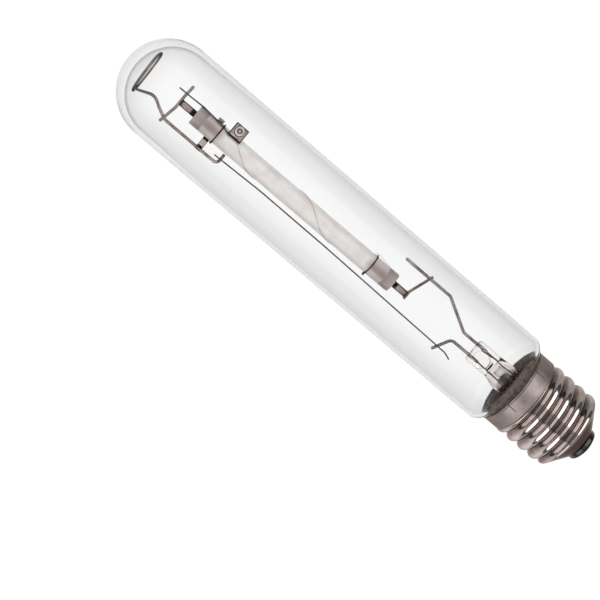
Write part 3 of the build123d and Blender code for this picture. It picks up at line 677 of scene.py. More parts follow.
def stemRows():
    # Rows of closed sections: y = centre + a * |cos|^(2/n), z = b * |sin|^(2/n), with n from 2 (round) to 3.4
    # (pinched flat). The two faces of the press sink by a smooth bump over an oval.
    neck, tube, top = bulb["neckRadius"], stem["tubeRadius"], stem["tubeTop"]
    lip, lipStart, neckEnd = neck - bulb["wall"], stem["lipStart"], bulb["neckEnd"]
    bend = lip - tube
    mouth = bend + stem["wall"]
    q = np.linspace(0, np.pi / 2, 20)
    flare = np.stack([neckEnd + bend - bend * np.cos(q), lip - bend * np.sin(q)], 1)
    flareIn = np.stack([neckEnd + bend - mouth * np.cos(q), lip - mouth * np.sin(q)], 1)[::-1]
    edge = [(lipStart, neck - 0.4), (lipStart + 0.35, neck - 0.03), (neckEnd - 0.01, neck - 0.03)]
    outer = np.concatenate([edge, [(neckEnd - 0.01, lip)], flare, [(top, tube)]])
    start, end, fold = stem["pressStart"], stem["pressEnd"], stem["endRound"]
    xPress = np.concatenate([np.linspace(top, start, 16)[1:], np.linspace(start, end - fold, 44)[1:]])
    e = np.linspace(0, np.pi / 2, 10)[1:]
    drop = fold * (1 - np.cos(e))
    share = smooth((xPress - top) / (start - top))
    waist = stem["waist"] * np.exp(-(((xPress - stem["waistX"]) / 2.0) ** 2))
    wide, thick, offAxis = stem["pressWidth"] / 2, stem["pressThickness"] / 2, stem["pressOffAxis"]
    halfWide, halfThick = tube + (wide - tube) * share - waist, tube + (thick - tube) * share

    def row(x, centre, a, b, n):
        return np.stack(np.broadcast_arrays(x, centre, a, b, n), 1)

    outerRows = np.concatenate(
        [
            row(outer[:, 0], 0.0, outer[:, 1], outer[:, 1], 2.0),
            row(xPress, offAxis * share, halfWide, halfThick, 2 + 1.4 * share),
            row(end - fold + fold * np.sin(e), offAxis, wide - drop, thick - drop, 3.0),
            row([end], offAxis, 0.0, 0.0, 2.0),
        ]
    )
    # The bore flattens with the press at its end
    boreX, boreWide, boreHigh = np.array(stem["boreEnd"]).T
    flareX, flareRadius = np.concatenate([[(top, tube - stem["wall"])], flareIn]).T
    boreX, boreWide = np.concatenate([top + boreX, flareX]), np.concatenate([boreWide, flareRadius])
    innerRows = row(boreX, 0.0, boreWide, np.concatenate([boreHigh, flareRadius]), 2.0)
    t = np.linspace(0, 2 * np.pi, 96, endpoint=False)

    def sections(rows):
        x, centre, a, b, n = [rows[:, i : i + 1] for i in range(5)]
        c, s = np.cos(t), np.sin(t)
        y = centre + a * np.sign(c) * np.abs(c) ** (2 / n)
        z = b * np.sign(s) * np.abs(s) ** (2 / n)
        return np.stack([x + 0 * y, y, z], -1)

    skin = sections(outerRows)
    oval = np.abs((skin[..., 0] - stem["dishX"]) / (stem["dishLength"] / 2)) ** 3
    oval = oval + np.abs((skin[..., 1] - stem["dishY"]) / (stem["dishWidth"] / 2)) ** 3
    onPress = skin[..., 0] > start - 1
    skin[..., 2] -= np.sign(skin[..., 2]) * stem["dishDepth"] * smooth((1.1 - oval) / 0.5) * onPress
    return skin, sections(innerRows)


# The outside from the press back to the lip and the inside from the lip up to the bore's end are one skin
stemSkin = gridOf(np.concatenate([rows[::-1] for rows in stemRows()]))
makePiece("stemGlass", [stemSkin], pressedGlass, "clear_glass", "glass_stem", sharp=60)

exhaust = {"tip": 17.0, "top": 55.0, "radius": 2.5, "wall": 0.8, "y": -0.8}


def exhaustProfile():
    # Two half-round ends at the tip, (tip + r - r cos q, r sin q), joined to straight walls
    q = np.linspace(0, np.pi / 2, 12)
    r, w = exhaust["radius"], exhaust["wall"]
    outer = np.stack([exhaust["tip"] + r - r * np.cos(q), r * np.sin(q)], 1)
    inner = np.stack([exhaust["tip"] + r - (r - w) * np.cos(q), (r - w) * np.sin(q)], 1)[::-1]
    return np.concatenate([outer, [(exhaust["top"], r), (exhaust["top"], r - w)], inner])


exhaustSkin = lathe(exhaustProfile(), 40, centre=(0, exhaust["y"], 0))
makePiece("exhaustTube", [exhaustSkin], pressedGlass, "clear_glass", "exhaust_tube")
print("stem made")

# Leads

leads = {"radius": 0.7, "sealRadius": 0.35, "inner": 64.0, "longY": -3.8, "reachY": -12.25, "shortY": 2.2}
leads.update({"gapZ": -17.0, "skirtZ": -18.55})  # between the neck and the shell, and on the skirt's inside
leads.update({"linkX": 108.525, "linkRadius": 0.64})
inner, longY, reachY, shortY = [leads[key] for key in ("inner", "longY", "reachY", "shortY")]
gapZ, skirtZ, linkX = leads["gapZ"], leads["skirtZ"], leads["linkX"]

longLine = [(inner, longY, 0), (77.6, longY, 0), (93.0, reachY, 0), (119.3, reachY, 0)]
makeWire("longLead", longLine, 3.0, leads["radius"], platedWire, "lead_wire", "long_lead")
shortLine = [(inner, shortY, 0), (79.7, shortY, 0), (84.2, 11.0, 0)]
makeWire("shortLead", shortLine, 3.0, leads["radius"], platedWire, "lead_wire", "short_lead")
line = [(inner, longY, 0), (51.5, longY, 0), (17.0, longY - 0.35, 0), (10.0, 0, 0), (0.6, 0, 0)]
makeWire("centreLead", line, [8.0, 2.0, 1.0], leads["sealRadius"], sealWire, "seal_wire", "centre_lead", sides=14)
line = [(inner, shortY, 0), (51.5, shortY + 0.5, 0), (26.0, shortY, -1.0), (24.5, 0.6, gapZ + 3.0)]
line += [(27.5, 0, gapZ), (36.8, 0, gapZ), (38.3, 0, skirtZ), (43.5, 0, skirtZ)]
bends, lean = [4.0, 2.0, 1.2, 1.2, 1.0, 1.0], (0.5, 1, 0.2)
makeWire("shellLead", line, bends, leads["sealRadius"], sealWire, "seal_wire", "shell_lead", lean, 14)
line = [(linkX, 2.2, 0), (linkX, -1.9, 0), (linkX - 3.6, -13.8, 1.405)]
makeWire("leadLink", line, 2.0, leads["linkRadius"], platedWire, "frame_wire", "lead_link")
print("leads made")

# Wire frame

frameWire = {"radius": 0.7, "z": -1.175, "y": 10.3, "hookX": 210.3, "crossX": 239.575}
frameWire.update({"crossRadius": 0.65, "returnRadius": 0.33, "sideRadius": 0.34, "returnZ": -0.28, "rise": 1.205})
ring = {"x": 259.2, "y": -0.6, "radius": 10.2, "tilt": 2.5, "lean": 3.3, "startTurn": -36.0, "opening": 24.0}
ring.update({"bend": 1.2, "thinner": 0.2, "thinFrom": 254.0, "thinOver": 6.0})
crossX, hookX = frameWire["crossX"], frameWire["hookX"]


def supportPath():
    # Hook, straight run, dip and then a circle in a plane tilted from YZ: centre + r * (cos t * u + sin t * up)
    tilt, start, lean = [math.radians(ring[key]) for key in ("tilt", "startTurn", "lean")]
    u = np.array([-math.sin(tilt), math.cos(tilt), 0])
    up = np.array([-math.sin(lean), 0, math.cos(lean)])
    centre = np.array([ring["x"], ring["y"], 0])
    first = centre + ring["radius"] * (math.cos(start) * u + math.sin(start) * up)
    run = math.sin(start) * u - math.cos(start) * up
    y, z = frameWire["y"], frameWire["z"]
    corners = [(hookX, 5.0, z), (hookX, y, z), (crossX + 0.3, y, z), (crossX + 10.8, 5.1, z)]
    lead = roundedLine(corners + [first - run * 1.5 * ring["bend"], first], [2.0, 6.0, 5.0, ring["bend"]])
    t = start - np.radians(np.linspace(0, 360 - ring["opening"], 90))[1:, None]
    return np.concatenate([lead, centre + ring["radius"] * (np.cos(t) * u + np.sin(t) * up)])


supportLine = supportPath()
ringThinner = 1 - ring["thinner"] * smooth((supportLine[:, 0] - ring["thinFrom"]) / ring["thinOver"])
supportGrid = sweep(supportLine, circle(frameWire["radius"], 22), (1, 1, 1), edge=0.18, sizes=ringThinner)
makePiece("supportWire", [supportGrid], platedWire, "frame_wire", "support_wire")
line = [(crossX - 0.3, -8.9, 0), (crossX, -3.2, 0), (crossX, 3.2, 0), (crossX + 1.55, 12.3, 0)]
makeWire("crossbar", line, 5.0, frameWire["crossRadius"], crossbarLitWire, "frame_wire", "crossbar")

# The return wire rises evenly from the hook to the short lead
returnLine = [(213.8, 7.9, frameWire["returnZ"])]
for x, y in ((188.0, 7.05), (150.0, 7.2), (82.6, 8.45)):
    returnLine.append((x, y, frameWire["returnZ"] + frameWire["rise"] * (hookX - x) / (hookX - 82.6)))
returnLine += [(78.3, 8.55, 0.925), (75.0, 9.7, 0.925)]
bends, thin = [20.0, 20.0, 8.0, 3.0], frameWire["returnRadius"]
makeWire("returnWire", returnLine, bends, thin, firedWire, "frame_wire", "return_wire", sides=14)
line = [(crossX + 4.0, -4.5, 0.895), (crossX + 0.4, -4.5, 0.895), (229.9, -4.8, 1.9), (218.3, -3.95, 4.14)]
line += [(216.2, -3.2, 4.55), (208.6, -3.2, 4.55)]
bends, thin = [3.0, 3.0, 2.0, 1.5], frameWire["sideRadius"]
makeWire("sideWire", line, bends, thin, firedWire, "frame_wire", "side_wire", (0, 1, 0.2), 14)

strap = {"x": 220.9, "width": 2.9, "thickness": 0.3, "corner": 0.08, "flatZ": -0.38, "tube": 4.82, "wire": 0.77}


def onCircle(centreY, centreZ, radius, turns):
    # (strap's x, centre + radius cos t, centre + radius sin t)
    t = np.radians(turns)
    return np.stack([np.full(len(t), strap["x"]), centreY + radius * np.cos(t), centreZ + radius * np.sin(t)], 1)


def strapPath():
    # Round the back of the support wire, flat to the arc tube, round its back, and out to the side wire as a tab
    x, z = strap["x"], strap["flatZ"]
    hook = onCircle(frameWire["y"], frameWire["z"], strap["wire"], np.linspace(10, -135, 18))
    saddle = onCircle(0, 0, strap["tube"], np.linspace(-20, -180, 40))
    rise = z - hook[-1, 2]
    lift = (z - saddle[0, 2]) * math.tan(math.radians(20))
    flat = roundedLine([hook[-1], (x, hook[-1, 1] - rise, z), (x, saddle[0, 1] + lift, z), saddle[0]], 0.5, 15)
    tab = roundedLine([saddle[-1], (x, -strap["tube"], 0.6), (x, -6.1, 1.8), (x, -4.74, 3.41)], 0.35, 15)
    return np.concatenate([hook[:-1], flat[:-1], saddle[:-1], tab])


strapGrid = sweep(strapPath(), flatBar(strap["width"], strap["thickness"], strap["corner"]), (1, 0, 0))
makePiece("tubeStrap", [strapGrid], strapShaded, "frame_strip", "tube_strap")

getter = {"x": 211.85, "width": 6.8, "thickness": 0.3, "corner": 0.12, "topY": -9.4, "pillY": -6.9}
getter.update({"hemY": -3.2, "hemZ": 4.55, "hemRadius": 0.45, "hemReturn": 1.5})


def getterPath():
    # Flat flag, then a half circle hemmed round the side wire and a short flat return
    x, y, z, r = getter["x"], getter["hemY"], getter["hemZ"], getter["hemRadius"]
    t = np.radians(np.linspace(90, -90, 17))
    bend = np.stack([np.full(17, x), y + r * np.cos(t), z + r * np.sin(t)], 1)
    start = [(x, getter["topY"], z + r), (x, getter["topY"] + 0.3, z + r)]
    return np.concatenate([start, bend, [(x, y - getter["hemReturn"], z - r)]])


flagGrid = sweep(getterPath(), flatBar(getter["width"], getter["thickness"], getter["corner"]), (1, 0, 0))
makePiece("getterFlag", [flagGrid], flagStrip, "getter_steel", "getter_plate")
pillLine = [(0, 0.0), (0, 2.5), (0.3, 2.5), (0.42, 2.42), (0.62, 2.25), (0.7, 2.1), (0.66, 1.75), (0.42, 1.45)]
pillLine += [(0.36, 1.2), (0.36, 0.75), (0.44, 0.6), (0.66, 0.42), (0.7, 0.25), (0.7, 0.0)]  # height, radius
seat = (getter["x"], getter["pillY"], getter["hemZ"] + getter["hemRadius"] + getter["thickness"] / 2)
pillGrid = lathe(pillLine, 48, centre=seat, upright=True)
makePiece("getterPill", [pillGrid], getterPowder, "getter_powder", "getter_pill", sharp=50)

clip = {"radius": 5.0, "wire": 0.33, "strand": 0.29, "twist": 0.27, "tailFrom": 4.95, "tailLength": 0.95}


def ringClip(x, lean):
    # A circle of wire round the arc tube, and two strands twisted round each other as a short tail
    t = np.linspace(0, 2 * np.pi, 72, endpoint=False)[:, None]
    a = np.linspace(0, 2 * np.pi, 14, endpoint=False)
    radius = clip["radius"] + clip["wire"] * np.cos(a)
    loop = np.stack([x + clip["wire"] * np.sin(a) + 0 * t, radius * np.cos(t), radius * np.sin(t)], -1)
    grids, s = [gridOf(loop, along=True)], np.linspace(0, 1, 22)
    way = np.array([lean, 1, 0]) / math.hypot(lean, 1)
    side = np.array([way[1], -way[0], 0])
    start = np.array([x - clip["tailFrom"] * way[0], 0, 0])
    for turn in (0, np.pi):
        twist = turn + 1.5 * np.pi * s
        line = start + np.outer(clip["tailFrom"] + clip["tailLength"] * s, way)
        line = line + clip["twist"] * (np.outer(np.cos(twist), side) + np.outer(np.sin(twist), [0, 0, 1]))
        grids.append(sweep(line, circle(clip["strand"], 12), (0.3, 0, 1), edge=0.08))
    return grids


makePiece("ringClipDome", ringClip(218.3, 0.5), firedWire, "frame_wire", "ring_clip_dome")
makePiece("ringClipCap", ringClip(129.7, 0.0), firedWire, "frame_wire", "ring_clip_cap")

spiral = {"radius": 0.1, "wound": 4.795, "pitch": 44.0, "from": 130.9, "to": 210.35, "endTurn": 124.5}


def spiralPath():
    # x grows by one pitch a turn while the angle grows by 360 degrees; the loose end hops over the ring clip
    x = np.linspace(spiral["from"], spiral["to"], 180)
    t = np.radians(spiral["endTurn"] + 360 * (x - spiral["to"]) / spiral["pitch"])
    wound = np.stack([x, spiral["wound"] * np.cos(t), spiral["wound"] * np.sin(t)], 1)
    loose = [wound[0], (130.45, -5.8, -0.3), (129.1, -5.8, 0.1), (126.7, -5.3, 0.6), (122.7, -4.85, 1.2)]
    return np.concatenate([roundedLine(loose, 0.25, 20)[::-1][:-1], wound])


spiralGrid = sweep(spiralPath(), circle(spiral["radius"], 10), (0.25, 0.4, 1))
makePiece("ignitionSpiral", [spiralGrid], fineTungsten, "tungsten", "ignition_wire")
print("frame made")

# Arc tube and its ends

arc = {"centre": 174.05, "length": 114.3, "radius": 4.65, "bore": 3.9, "plug": 4.0, "recess": 0.9}
arc.update({"feedRadius": 1.55, "feedBore": 1.3, "feedReach": 7.8, "rod": 0.6, "rodLength": 9.6})
arc.update({"coil": 0.28, "coilTurns": 7, "coilFromTip": 1.4, "filletHeight": 0.84, "filletLength": 0.6})

half = arc["length"] / 2
arcEnds = (arc["centre"] - half, arc["centre"] + half)
arcLine = [(arcEnds[i], arc[key]) for i, key in ((0, "bore"), (0, "radius"), (1, "radius"), (1, "bore"))]
makePiece("arcTube", [lathe(loopOf(arcLine, 0.2), 96, closed=True)], aluminaTube, "alumina", "arc_tube")


def endPieces(side, word):
    # Everything at one end of the arc tube, by its depth from the tube's end towards the middle: the plug, the
    # niobium tube, a quarter-round fillet of glass and the rod with its coil, (x + pitch * t, r cos t, r sin t)
    recess, bore, hole, rod = arc["recess"], arc["bore"], arc["feedRadius"], arc["rod"]
    plugIn = recess + arc["plug"]
    feedIn, tip = plugIn + 0.5, plugIn + arc["rodLength"]

    def at(depth, r):
        return (arc["centre"] + side * half - side * depth, r)

    plug = [at(recess, hole), at(recess, bore), at(plugIn, bore), at(plugIn, hole)]
    feed = [(-arc["feedReach"], arc["feedBore"]), (-arc["feedReach"], hole), (feedIn, hole), (feedIn, arc["feedBore"])]
    feed = [at(*corner) for corner in feed]
    size, height = arc["filletLength"], arc["filletHeight"]
    q = np.linspace(0, np.pi / 2, 9)
    fillet = [at(recess - size + size * np.sin(t), hole + height * (1 - np.cos(t))) for t in q] + [at(recess, hole)]
    rodLine = [at(plugIn - 1.5, 0), at(plugIn - 1.5, 1.3), at(feedIn, 1.3), at(feedIn + 0.1, rod)]
    rodLine += [at(tip - 0.15, rod), at(tip, rod - 0.15), at(tip, 0)]
    t = np.linspace(0, arc["coilTurns"] * 2 * np.pi, arc["coilTurns"] * 24)
    x = at(tip, 0)[0] + side * (arc["coilFromTip"] + 2 * arc["coil"] * 0.98 * t / (2 * np.pi))
    coil = np.stack([x, (rod + 0.24) * np.cos(t), (rod + 0.24) * np.sin(t)], 1)
    wound = sweep(coil, circle(arc["coil"] - 0.02, 10), (1, 0, 0), edge=0.05)
    for name, node, grids, material, slotName in (
        ("endPlug", "end_plug_", [lathe(loopOf(plug, 0.12), 64, closed=True)], aluminaPlug, "plug_alumina"),
        ("niobiumTube", "niobium_tube_", [lathe(loopOf(feed, 0.07), 48, closed=True)], niobiumTube, "niobium"),
        ("sealRing", "seal_ring_", [lathe(fillet, 48, closed=True)], sealingGlass, "seal_glass"),
        ("electrode", "electrode_", [lathe(rodLine, 32), wound], tungstenWire, "tungsten"),
    ):
        makePiece(name + word, grids, material, slotName, node + word.lower())


endPieces(1, "Dome")
endPieces(-1, "Cap")
print("arc tube made")

# Screw cap

cap = {
    "length": 45.5,
    "wall": 0.35,
    "skirtRadius": 19.25,
    "skirtStart": 37.3,
    "coneStart": (3.8, 8.4),
    "coneSlope": 52.5,
    "holeRadius": 8.05,
    "rootRadius": 17.95,
    "depth": 1.7,
    "pitch": 6.35,
    "round": 1.85,
    "crestX": 32.6,  # of the crest that is half a turn round
    "runOuts": [(10.0, 16.4, 1.39), (36.2, 21.0, -2.1)],  # cones that end the thread: x, radius there, slope
    "slits": 6,
    "slitTurn": 6.0,
    "slitWidth": 0.4,
    "slitLength": 5.2,
    "lip": 0.2,
}


def softMax(a, b, width):
    # The larger of the two, its corner rounded: half of a + b + the root of (a - b)^2 + width^2
    return 0.5 * (a + b + np.sqrt((a - b) ** 2 + width**2))


def softMin(a, b, width):
    # The same for the smaller of the two
    return -softMax(-a, -b, width)


def threadHeight(x, turn):
    # Crest and root are arcs of one radius that meet a quarter pitch from each: near the crest the height is
    # depth - k * (R - sqrt(R^2 - u^2)), near the root k * (R - sqrt(R^2 - v^2)), u and v from crest and root
    pitch, r = cap["pitch"], cap["round"]
    crest = cap["crestX"] + pitch * (np.degrees(turn) - 180) / 360
    u = np.abs((x - crest + pitch / 2) % pitch - pitch / 2)
    v = pitch / 2 - u
    sag = r - math.sqrt(r * r - (pitch / 4) ** 2)
    k = cap["depth"] / (2 * sag)
    high = cap["depth"] - k * (r - np.sqrt(np.maximum(r * r - np.minimum(u, pitch / 4) ** 2, 0)))
    low = k * (r - np.sqrt(np.maximum(r * r - np.minimum(v, pitch / 4) ** 2, 0)))
    return np.where(u < pitch / 4, high, low)


def shellRadius(x, turn):
    # The turned form (cone, root cylinder, step, skirt, lip), and over it the thread, cut off softly by a cone
    # at each end so that it runs out against the cap's cone and skirt
    cone = cap["coneStart"][1] + (x - cap["coneStart"][0]) * math.tan(math.radians(cap["coneSlope"]))
    step = (cap["skirtRadius"] - cap["rootRadius"]) * smooth((x - cap["skirtStart"] + 1.3) / 1.5)
    lip = cap["lip"] * smooth((x - cap["length"] + 1.0) / 0.7)
    plain = softMin(cone, cap["rootRadius"], 0.8) + step + lip
    thread = cap["rootRadius"] + threadHeight(x, turn)
    for endX, radius, slope in cap["runOuts"]:
        thread = softMin(thread, radius + (x - endX) * slope, 0.5)
    return softMax(plain, thread, 0.12)


def shellGrid():
    # Points (x, R cos t, R sin t) outside, and the same moved in by the wall along the surface's normal inside.
    # Quads between the two edges of each slit are left out from its end to the rim, and its walls are added.
    halfSlit = 0.5 * cap["slitWidth"] / cap["skirtRadius"]
    sector = np.radians(360 / cap["slits"])
    inSector = np.concatenate([[-halfSlit, halfSlit], np.linspace(halfSlit, sector - halfSlit, 34)[1:-1]])
    start = np.radians(cap["slitTurn"]) + sector * np.arange(cap["slits"])
    turn = (start[:, None] + inSector).ravel()
    slitX = cap["length"] - cap["slitLength"]
    stops = [cap["coneStart"][0], 10.4, 38.0, slitX, cap["length"] - 1.0, cap["length"]]
    runs = [np.linspace(a, b, n)[:-1] for a, b, n in zip(stops, stops[1:], (12, 160, 4, 8, 7))]
    x = np.concatenate(runs + [[cap["length"]]])
    grid = x[:, None] + 0 * turn
    c, s = np.cos(turn) + 0 * grid, np.sin(turn) + 0 * grid
    r = shellRadius(grid, turn)
    outer = np.stack([grid, r * c, r * s], -1)
    small = 1e-3
    slopeX = (shellRadius(grid + small, turn) - shellRadius(grid - small, turn)) / (2 * small)
    slopeT = (shellRadius(grid, turn + small) - shellRadius(grid, turn - small)) / (2 * small) / r
    normal = np.stack([-slopeX, c + slopeT * s, s - slopeT * c], -1)
    normal = normal / np.linalg.norm(normal, axis=-1, keepdims=True)
    inner = outer - cap["wall"] * normal
    inner[0, :, 0] = x[0]
    inner[-1, :, 0] = x[-1]
    inner[0, :, 1:] = outer[0, :, 1:] * (cap["holeRadius"] / cap["coneStart"][1])
    rows, columns = grid.shape
    points = np.concatenate([outer.reshape(-1, 3), inner.reshape(-1, 3)])
    here = np.arange(rows * columns).reshape(rows, columns)
    after = np.roll(here, -1, 1)
    hereIn, afterIn = here + rows * columns, after + rows * columns
    firstOpen = int(np.argmin(np.abs(x - slitX)))
    slit = np.arange(columns) % len(inSector) == 0
    keep = ~(slit[None, :] & (np.arange(rows - 1) >= firstOpen)[:, None])
    quads = [
        np.stack([here[:-1], after[:-1], after[1:], here[1:]], -1)[keep],  # outside
        np.stack([hereIn[:-1], hereIn[1:], afterIn[1:], afterIn[:-1]], -1)[keep],  # inside
        np.stack([here[-1], after[-1], afterIn[-1], hereIn[-1]], -1)[~slit],  # rim
        np.stack([here[0], hereIn[0], afterIn[0], after[0]], -1),  # hole for the button
    ]
    for edge, edgeIn in ((here, hereIn), (after, afterIn)):
        walls = [edge[firstOpen:-1, slit], edge[firstOpen + 1 :, slit]]
        walls += [edgeIn[firstOpen + 1 :, slit], edgeIn[firstOpen:-1, slit]]
        quads.append(np.stack(walls, -1).reshape(-1, 4))
    quads.append(np.stack([index[firstOpen, slit] for index in (here, after, afterIn, hereIn)], -1))
    return points, np.concatenate(quads)


makePiece("screwShell", [shellGrid()], capMetal, "cap_metal", "screw_shell", sharp=50)

cement = {"from": 37.5, "to": 45.2, "gap": 0.05, "outer": 18.88, "waves": 0.12}


def cementGrid():
    # A turned ring, against the neck and the foot of its shoulder on the inside and the skirt on the outside. Its
    # free face is uneven by waves * (0.6 sin(5 t + 1) + 0.4 sin(11 t)) round the turn.
    foot, face, outside, gap = cement["from"], cement["to"], cement["outer"], cement["gap"]
    neck = bulbLine[: np.argmax(bulbLine[:, 0] <= bulb["neckEnd"])]
    inside = neck[(neck[:, 0] < face) & (neck[:, 0] > foot)] + gap
    end = [(face + 0.1, outside - 0.25), (face, outside), (foot, outside)]
    profile = np.concatenate([[(foot, bulb["neckRadius"] + gap)], inside[::-1], end])
    points, quads = lathe(profile, 128, closed=True)
    t = np.arctan2(points[:, 2], points[:, 1])
    free = smooth((points[:, 0] - face + 0.5) / 0.5)
    points[:, 0] += free * cement["waves"] * (0.6 * np.sin(5 * t + 1) + 0.4 * np.sin(11 * t))
    return points, quads


makePiece("cappingCement", [cementGrid()], cappingCement, "cement", "capping_cement")

button = {"proud": 0.9, "round": 1.4, "depth": 9.0, "bore": 0.36, "seatRadius": 5.42, "seatDepth": 1.7}


def buttonProfile():
    # Contact seat, rounded nose, short neck in the shell's hole and a cone against the shell's inside
    x, r = cap["coneStart"][0] + 0.28, cap["holeRadius"]
    deep, proud, bend = button["depth"], button["proud"], button["round"]
    top = r + 0.14 + (deep - x) * math.tan(math.radians(cap["coneSlope"]))
    q = np.linspace(0, np.pi / 2, 10)
    nose = [(proud + bend - bend * math.cos(t), r - bend + bend * math.sin(t)) for t in q]
    seat = [(button["seatDepth"], button["bore"]), (button["seatDepth"], button["seatRadius"])]
    seat += [(proud, button["seatRadius"])]
    return seat + nose + [(x, r), (x, r + 0.14), (deep, top - 0.02), (deep, button["bore"])]


makePiece("blackButton", [lathe(buttonProfile(), 96, closed=True)], blackGlass, "black_glass", "cap_insulator")
contactLine = [(0.02, 1.5), (0.02, 4.9), (0.16, 5.25), (0.45, 5.4), (1.7, 5.4), (1.7, 1.5)]
makePiece("centreContact", [lathe(contactLine, 96, closed=True)], brassContact, "contact_brass", "centre_contact")
solderLine = [(0.5, 0.0), (0.34, 0.3), (0.12, 0.8), (0.03, 1.25), (0.05, 1.49), (1.7, 1.49), (1.7, 0.36)]
solderLine += [(0.62, 0.36), (0.6, 0.0)]
makePiece("contactSolder", [lathe(solderLine, 40)], softSolder, "solder", "contact_solder")
print("cap made")

# Floor, light and camera

studio = {"floorZ": -23.02, "floorHalf": 1.6, "glow": 0.88, "seen": 1.07, "table": "#f4f4f4"}
studio.update({"world": "#48494b", "paleWorld": "#f4f5f6", "keyPower": 6.2, "fillPower": 5.1, "topPower": 1.15})
sheet = {"from": 5.0, "to": 245.0, "clear": 55.0, "fade": 80.0, "nearGlass": 0.99, "farGlass": 0.84}
sheet.update({"sideMetal": 0.42, "sideY": (-70.0, -30.0), "endMetal": 0.5, "endX": (-30.0, 4.0)})


def paleFloor():
    # A white table, bright only under and round the lamp. What reaches the eye through the glass from further off
    # is greyer, which draws the glass's edges, and so is what metal reflects from beyond one long side and the cap.
    mesh = bpy.data.meshes.new("floor")
    wide, z = studio["floorHalf"], studio["floorZ"] / 1000
    mesh.from_pydata([(-wide, -wide, z), (wide, -wide, z), (wide, wide, z), (-wide, wide, z)], [], [(0, 1, 2, 3)])
    made = bpy.data.materials.new("whiteLaminateTable")
    tree = emptyTree(made)
    matt = add(tree, "BsdfDiffuse", None, {"Color": linear(studio["table"])})
    place = add(tree, "SeparateXYZ", None, {0: add(tree, "TexCoord").outputs["Object"]}).outputs
    # How far a point of the floor is from a line under the lamp: nothing is added along the line itself
    halfLine = (sheet["to"] - sheet["from"]) / 2
    along = awayFrom(tree, place["X"], sheet["from"] + halfLine)
    beyond = add(tree, "Math", {"operation": "SUBTRACT"}, {0: along, 1: halfLine / 1000}).outputs[0]
    beyond = add(tree, "Math", {"operation": "MAXIMUM"}, {0: beyond, 1: 0.0}).outputs[0]
    flat = add(tree, "CombineXYZ", None, {"X": beyond, "Y": place["Y"]}).outputs[0]
    distance = add(tree, "VectorMath", {"operation": "LENGTH"}, {0: flat}).outputs["Value"]
    fading = span(sheet["clear"] / 1000, sheet["fade"] / 1000, sheet["nearGlass"], sheet["farGlass"])
    soft = {"interpolation_type": "SMOOTHSTEP"}
    byGlass = add(tree, "MapRange", soft, {"Value": distance, **fading}).outputs[0]
    shares = []
    for axis, stretch, metal in (("Y", "sideY", "sideMetal"), ("X", "endX", "endMetal")):
        low, high = sheet[stretch]
        inputs = {"Value": place[axis], **span(low / 1000, high / 1000, sheet[metal])}
        shares.append(add(tree, "MapRange", None, inputs).outputs[0])
    byMetal = add(tree, "Math", {"operation": "MULTIPLY"}, {0: shares[0], 1: shares[1]}).outputs[0]
    rays = add(tree, "LightPath").outputs
    bent = add(tree, "Mix", None, {"Factor": rays["Is Transmission Ray"], 2: byMetal, 3: byGlass}).outputs[0]
    strength = add(tree, "Mix", None, {"Factor": rays["Is Camera Ray"], 2: bent, 3: studio["seen"]}).outputs[0]
    glow = add(tree, "Emission", None, {"Color": linear("#ffffff"), "Strength": strength})
    seen = {0: rays["Is Camera Ray"], 1: rays["Is Glossy Ray"]}
    seen = {0: add(tree, "Math", {"operation": "MAXIMUM"}, seen).outputs[0], 1: rays["Is Transmission Ray"]}
    seen = add(tree, "Math", {"operation": "MAXIMUM"}, seen).outputs[0]
    share = add(tree, "Math", {"operation": "MULTIPLY"}, {0: seen, 1: studio["glow"]}).outputs[0]
    mix = add(tree, "MixShader", None, {0: share, 1: matt.outputs[0], 2: glow.outputs[0]})
    add(tree, "OutputMaterial", None, {"Surface": mix.outputs[0]})
    mesh.materials.append(made)
    floor = bpy.data.objects.new("floor", mesh)
    bpy.context.scene.collection.objects.link(floor)


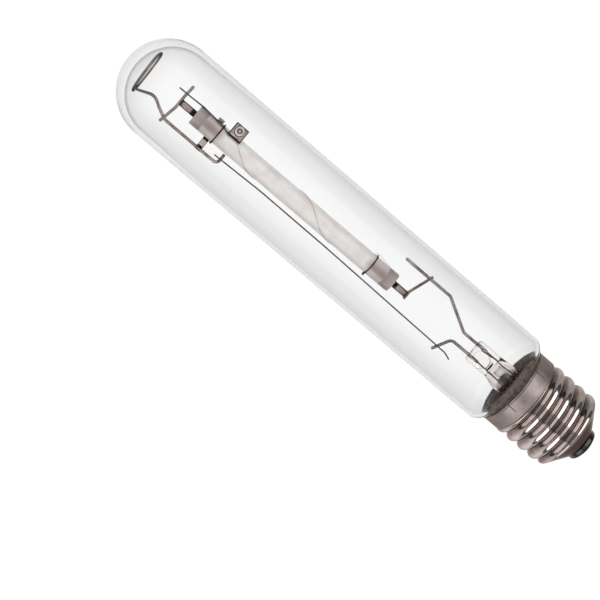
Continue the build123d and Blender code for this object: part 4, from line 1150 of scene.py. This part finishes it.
def studioAir():
    # The air is dim for the light it gives, and pale where the eye meets it, also through glass
    world = bpy.data.worlds.new("studioAir")
    bpy.context.scene.world = world
    tree = emptyTree(world)
    rays = add(tree, "LightPath").outputs
    seen = {0: rays["Is Camera Ray"], 1: rays["Is Transmission Ray"]}
    seen = add(tree, "Math", {"operation": "MAXIMUM"}, seen).outputs[0]
    dim, pale = [add(tree, "Background", None, {"Color": linear(studio[key])}) for key in ("world", "paleWorld")]
    mix = add(tree, "MixShader", None, {0: seen, 1: dim.outputs[0], 2: pale.outputs[0]})
    add(tree, "OutputWorld", None, {"Surface": mix.outputs[0]})


def softBox(name, power, sizes, place, aim):
    # A rectangular lamp that faces the aim, its long side along X
    data = bpy.data.lights.new(name, "AREA")
    data.shape, data.size, data.size_y, data.energy = "RECTANGLE", sizes[0], sizes[1], power
    lamp = bpy.data.objects.new(name, data)
    back = np.array(place, float) - np.array(aim, float)
    back = back / np.linalg.norm(back)
    side = np.array([1.0, 0, 0])
    side = side - (side @ back) * back
    side = side / np.linalg.norm(side)
    turned = Matrix([[*row] for row in np.stack([side, np.cross(back, side), back], 1)]).to_4x4()
    turned.translation = place
    lamp.matrix_world = turned
    lamp.visible_camera = False
    bpy.context.scene.collection.objects.link(lamp)


paleFloor()
studioAir()
softBox("softBoxUpper", studio["keyPower"], (1.2, 0.78), (0.14, -0.49, 0.63), (0.13, 0, 0))
softBox("softBoxLower", studio["fillPower"], (1.2, 0.71), (0.14, 0.61, 0.51), (0.13, 0, 0))
softBox("softBoxTop", studio["topPower"], (1.2, 0.5), (0.14, 0.07, 0.86), (0.13, 0, 0))
bpy.context.scene.view_settings.view_transform = "Standard"

# The lens and the camera's place were fitted to the lamp's outline in the photograph
camera = bpy.data.cameras.new("camera")
camera.lens, camera.sensor_width = 87.66, 36.0
camera.clip_start, camera.clip_end = 0.05, 10
eye = bpy.data.objects.new("camera", camera)
right, up, back = (-0.75791, -0.64849, 0.07096), (0.63852, -0.75972, -0.12294), (0.13363, -0.04787, 0.98987)
turned = Matrix([[a, b, c] for a, b, c in zip(right, up, back)]).to_4x4()
turned.translation = (0.22985, 0.00134, 0.64059)
eye.matrix_world = turned
bpy.context.scene.collection.objects.link(eye)
bpy.context.scene.camera = eye
print("studio made")
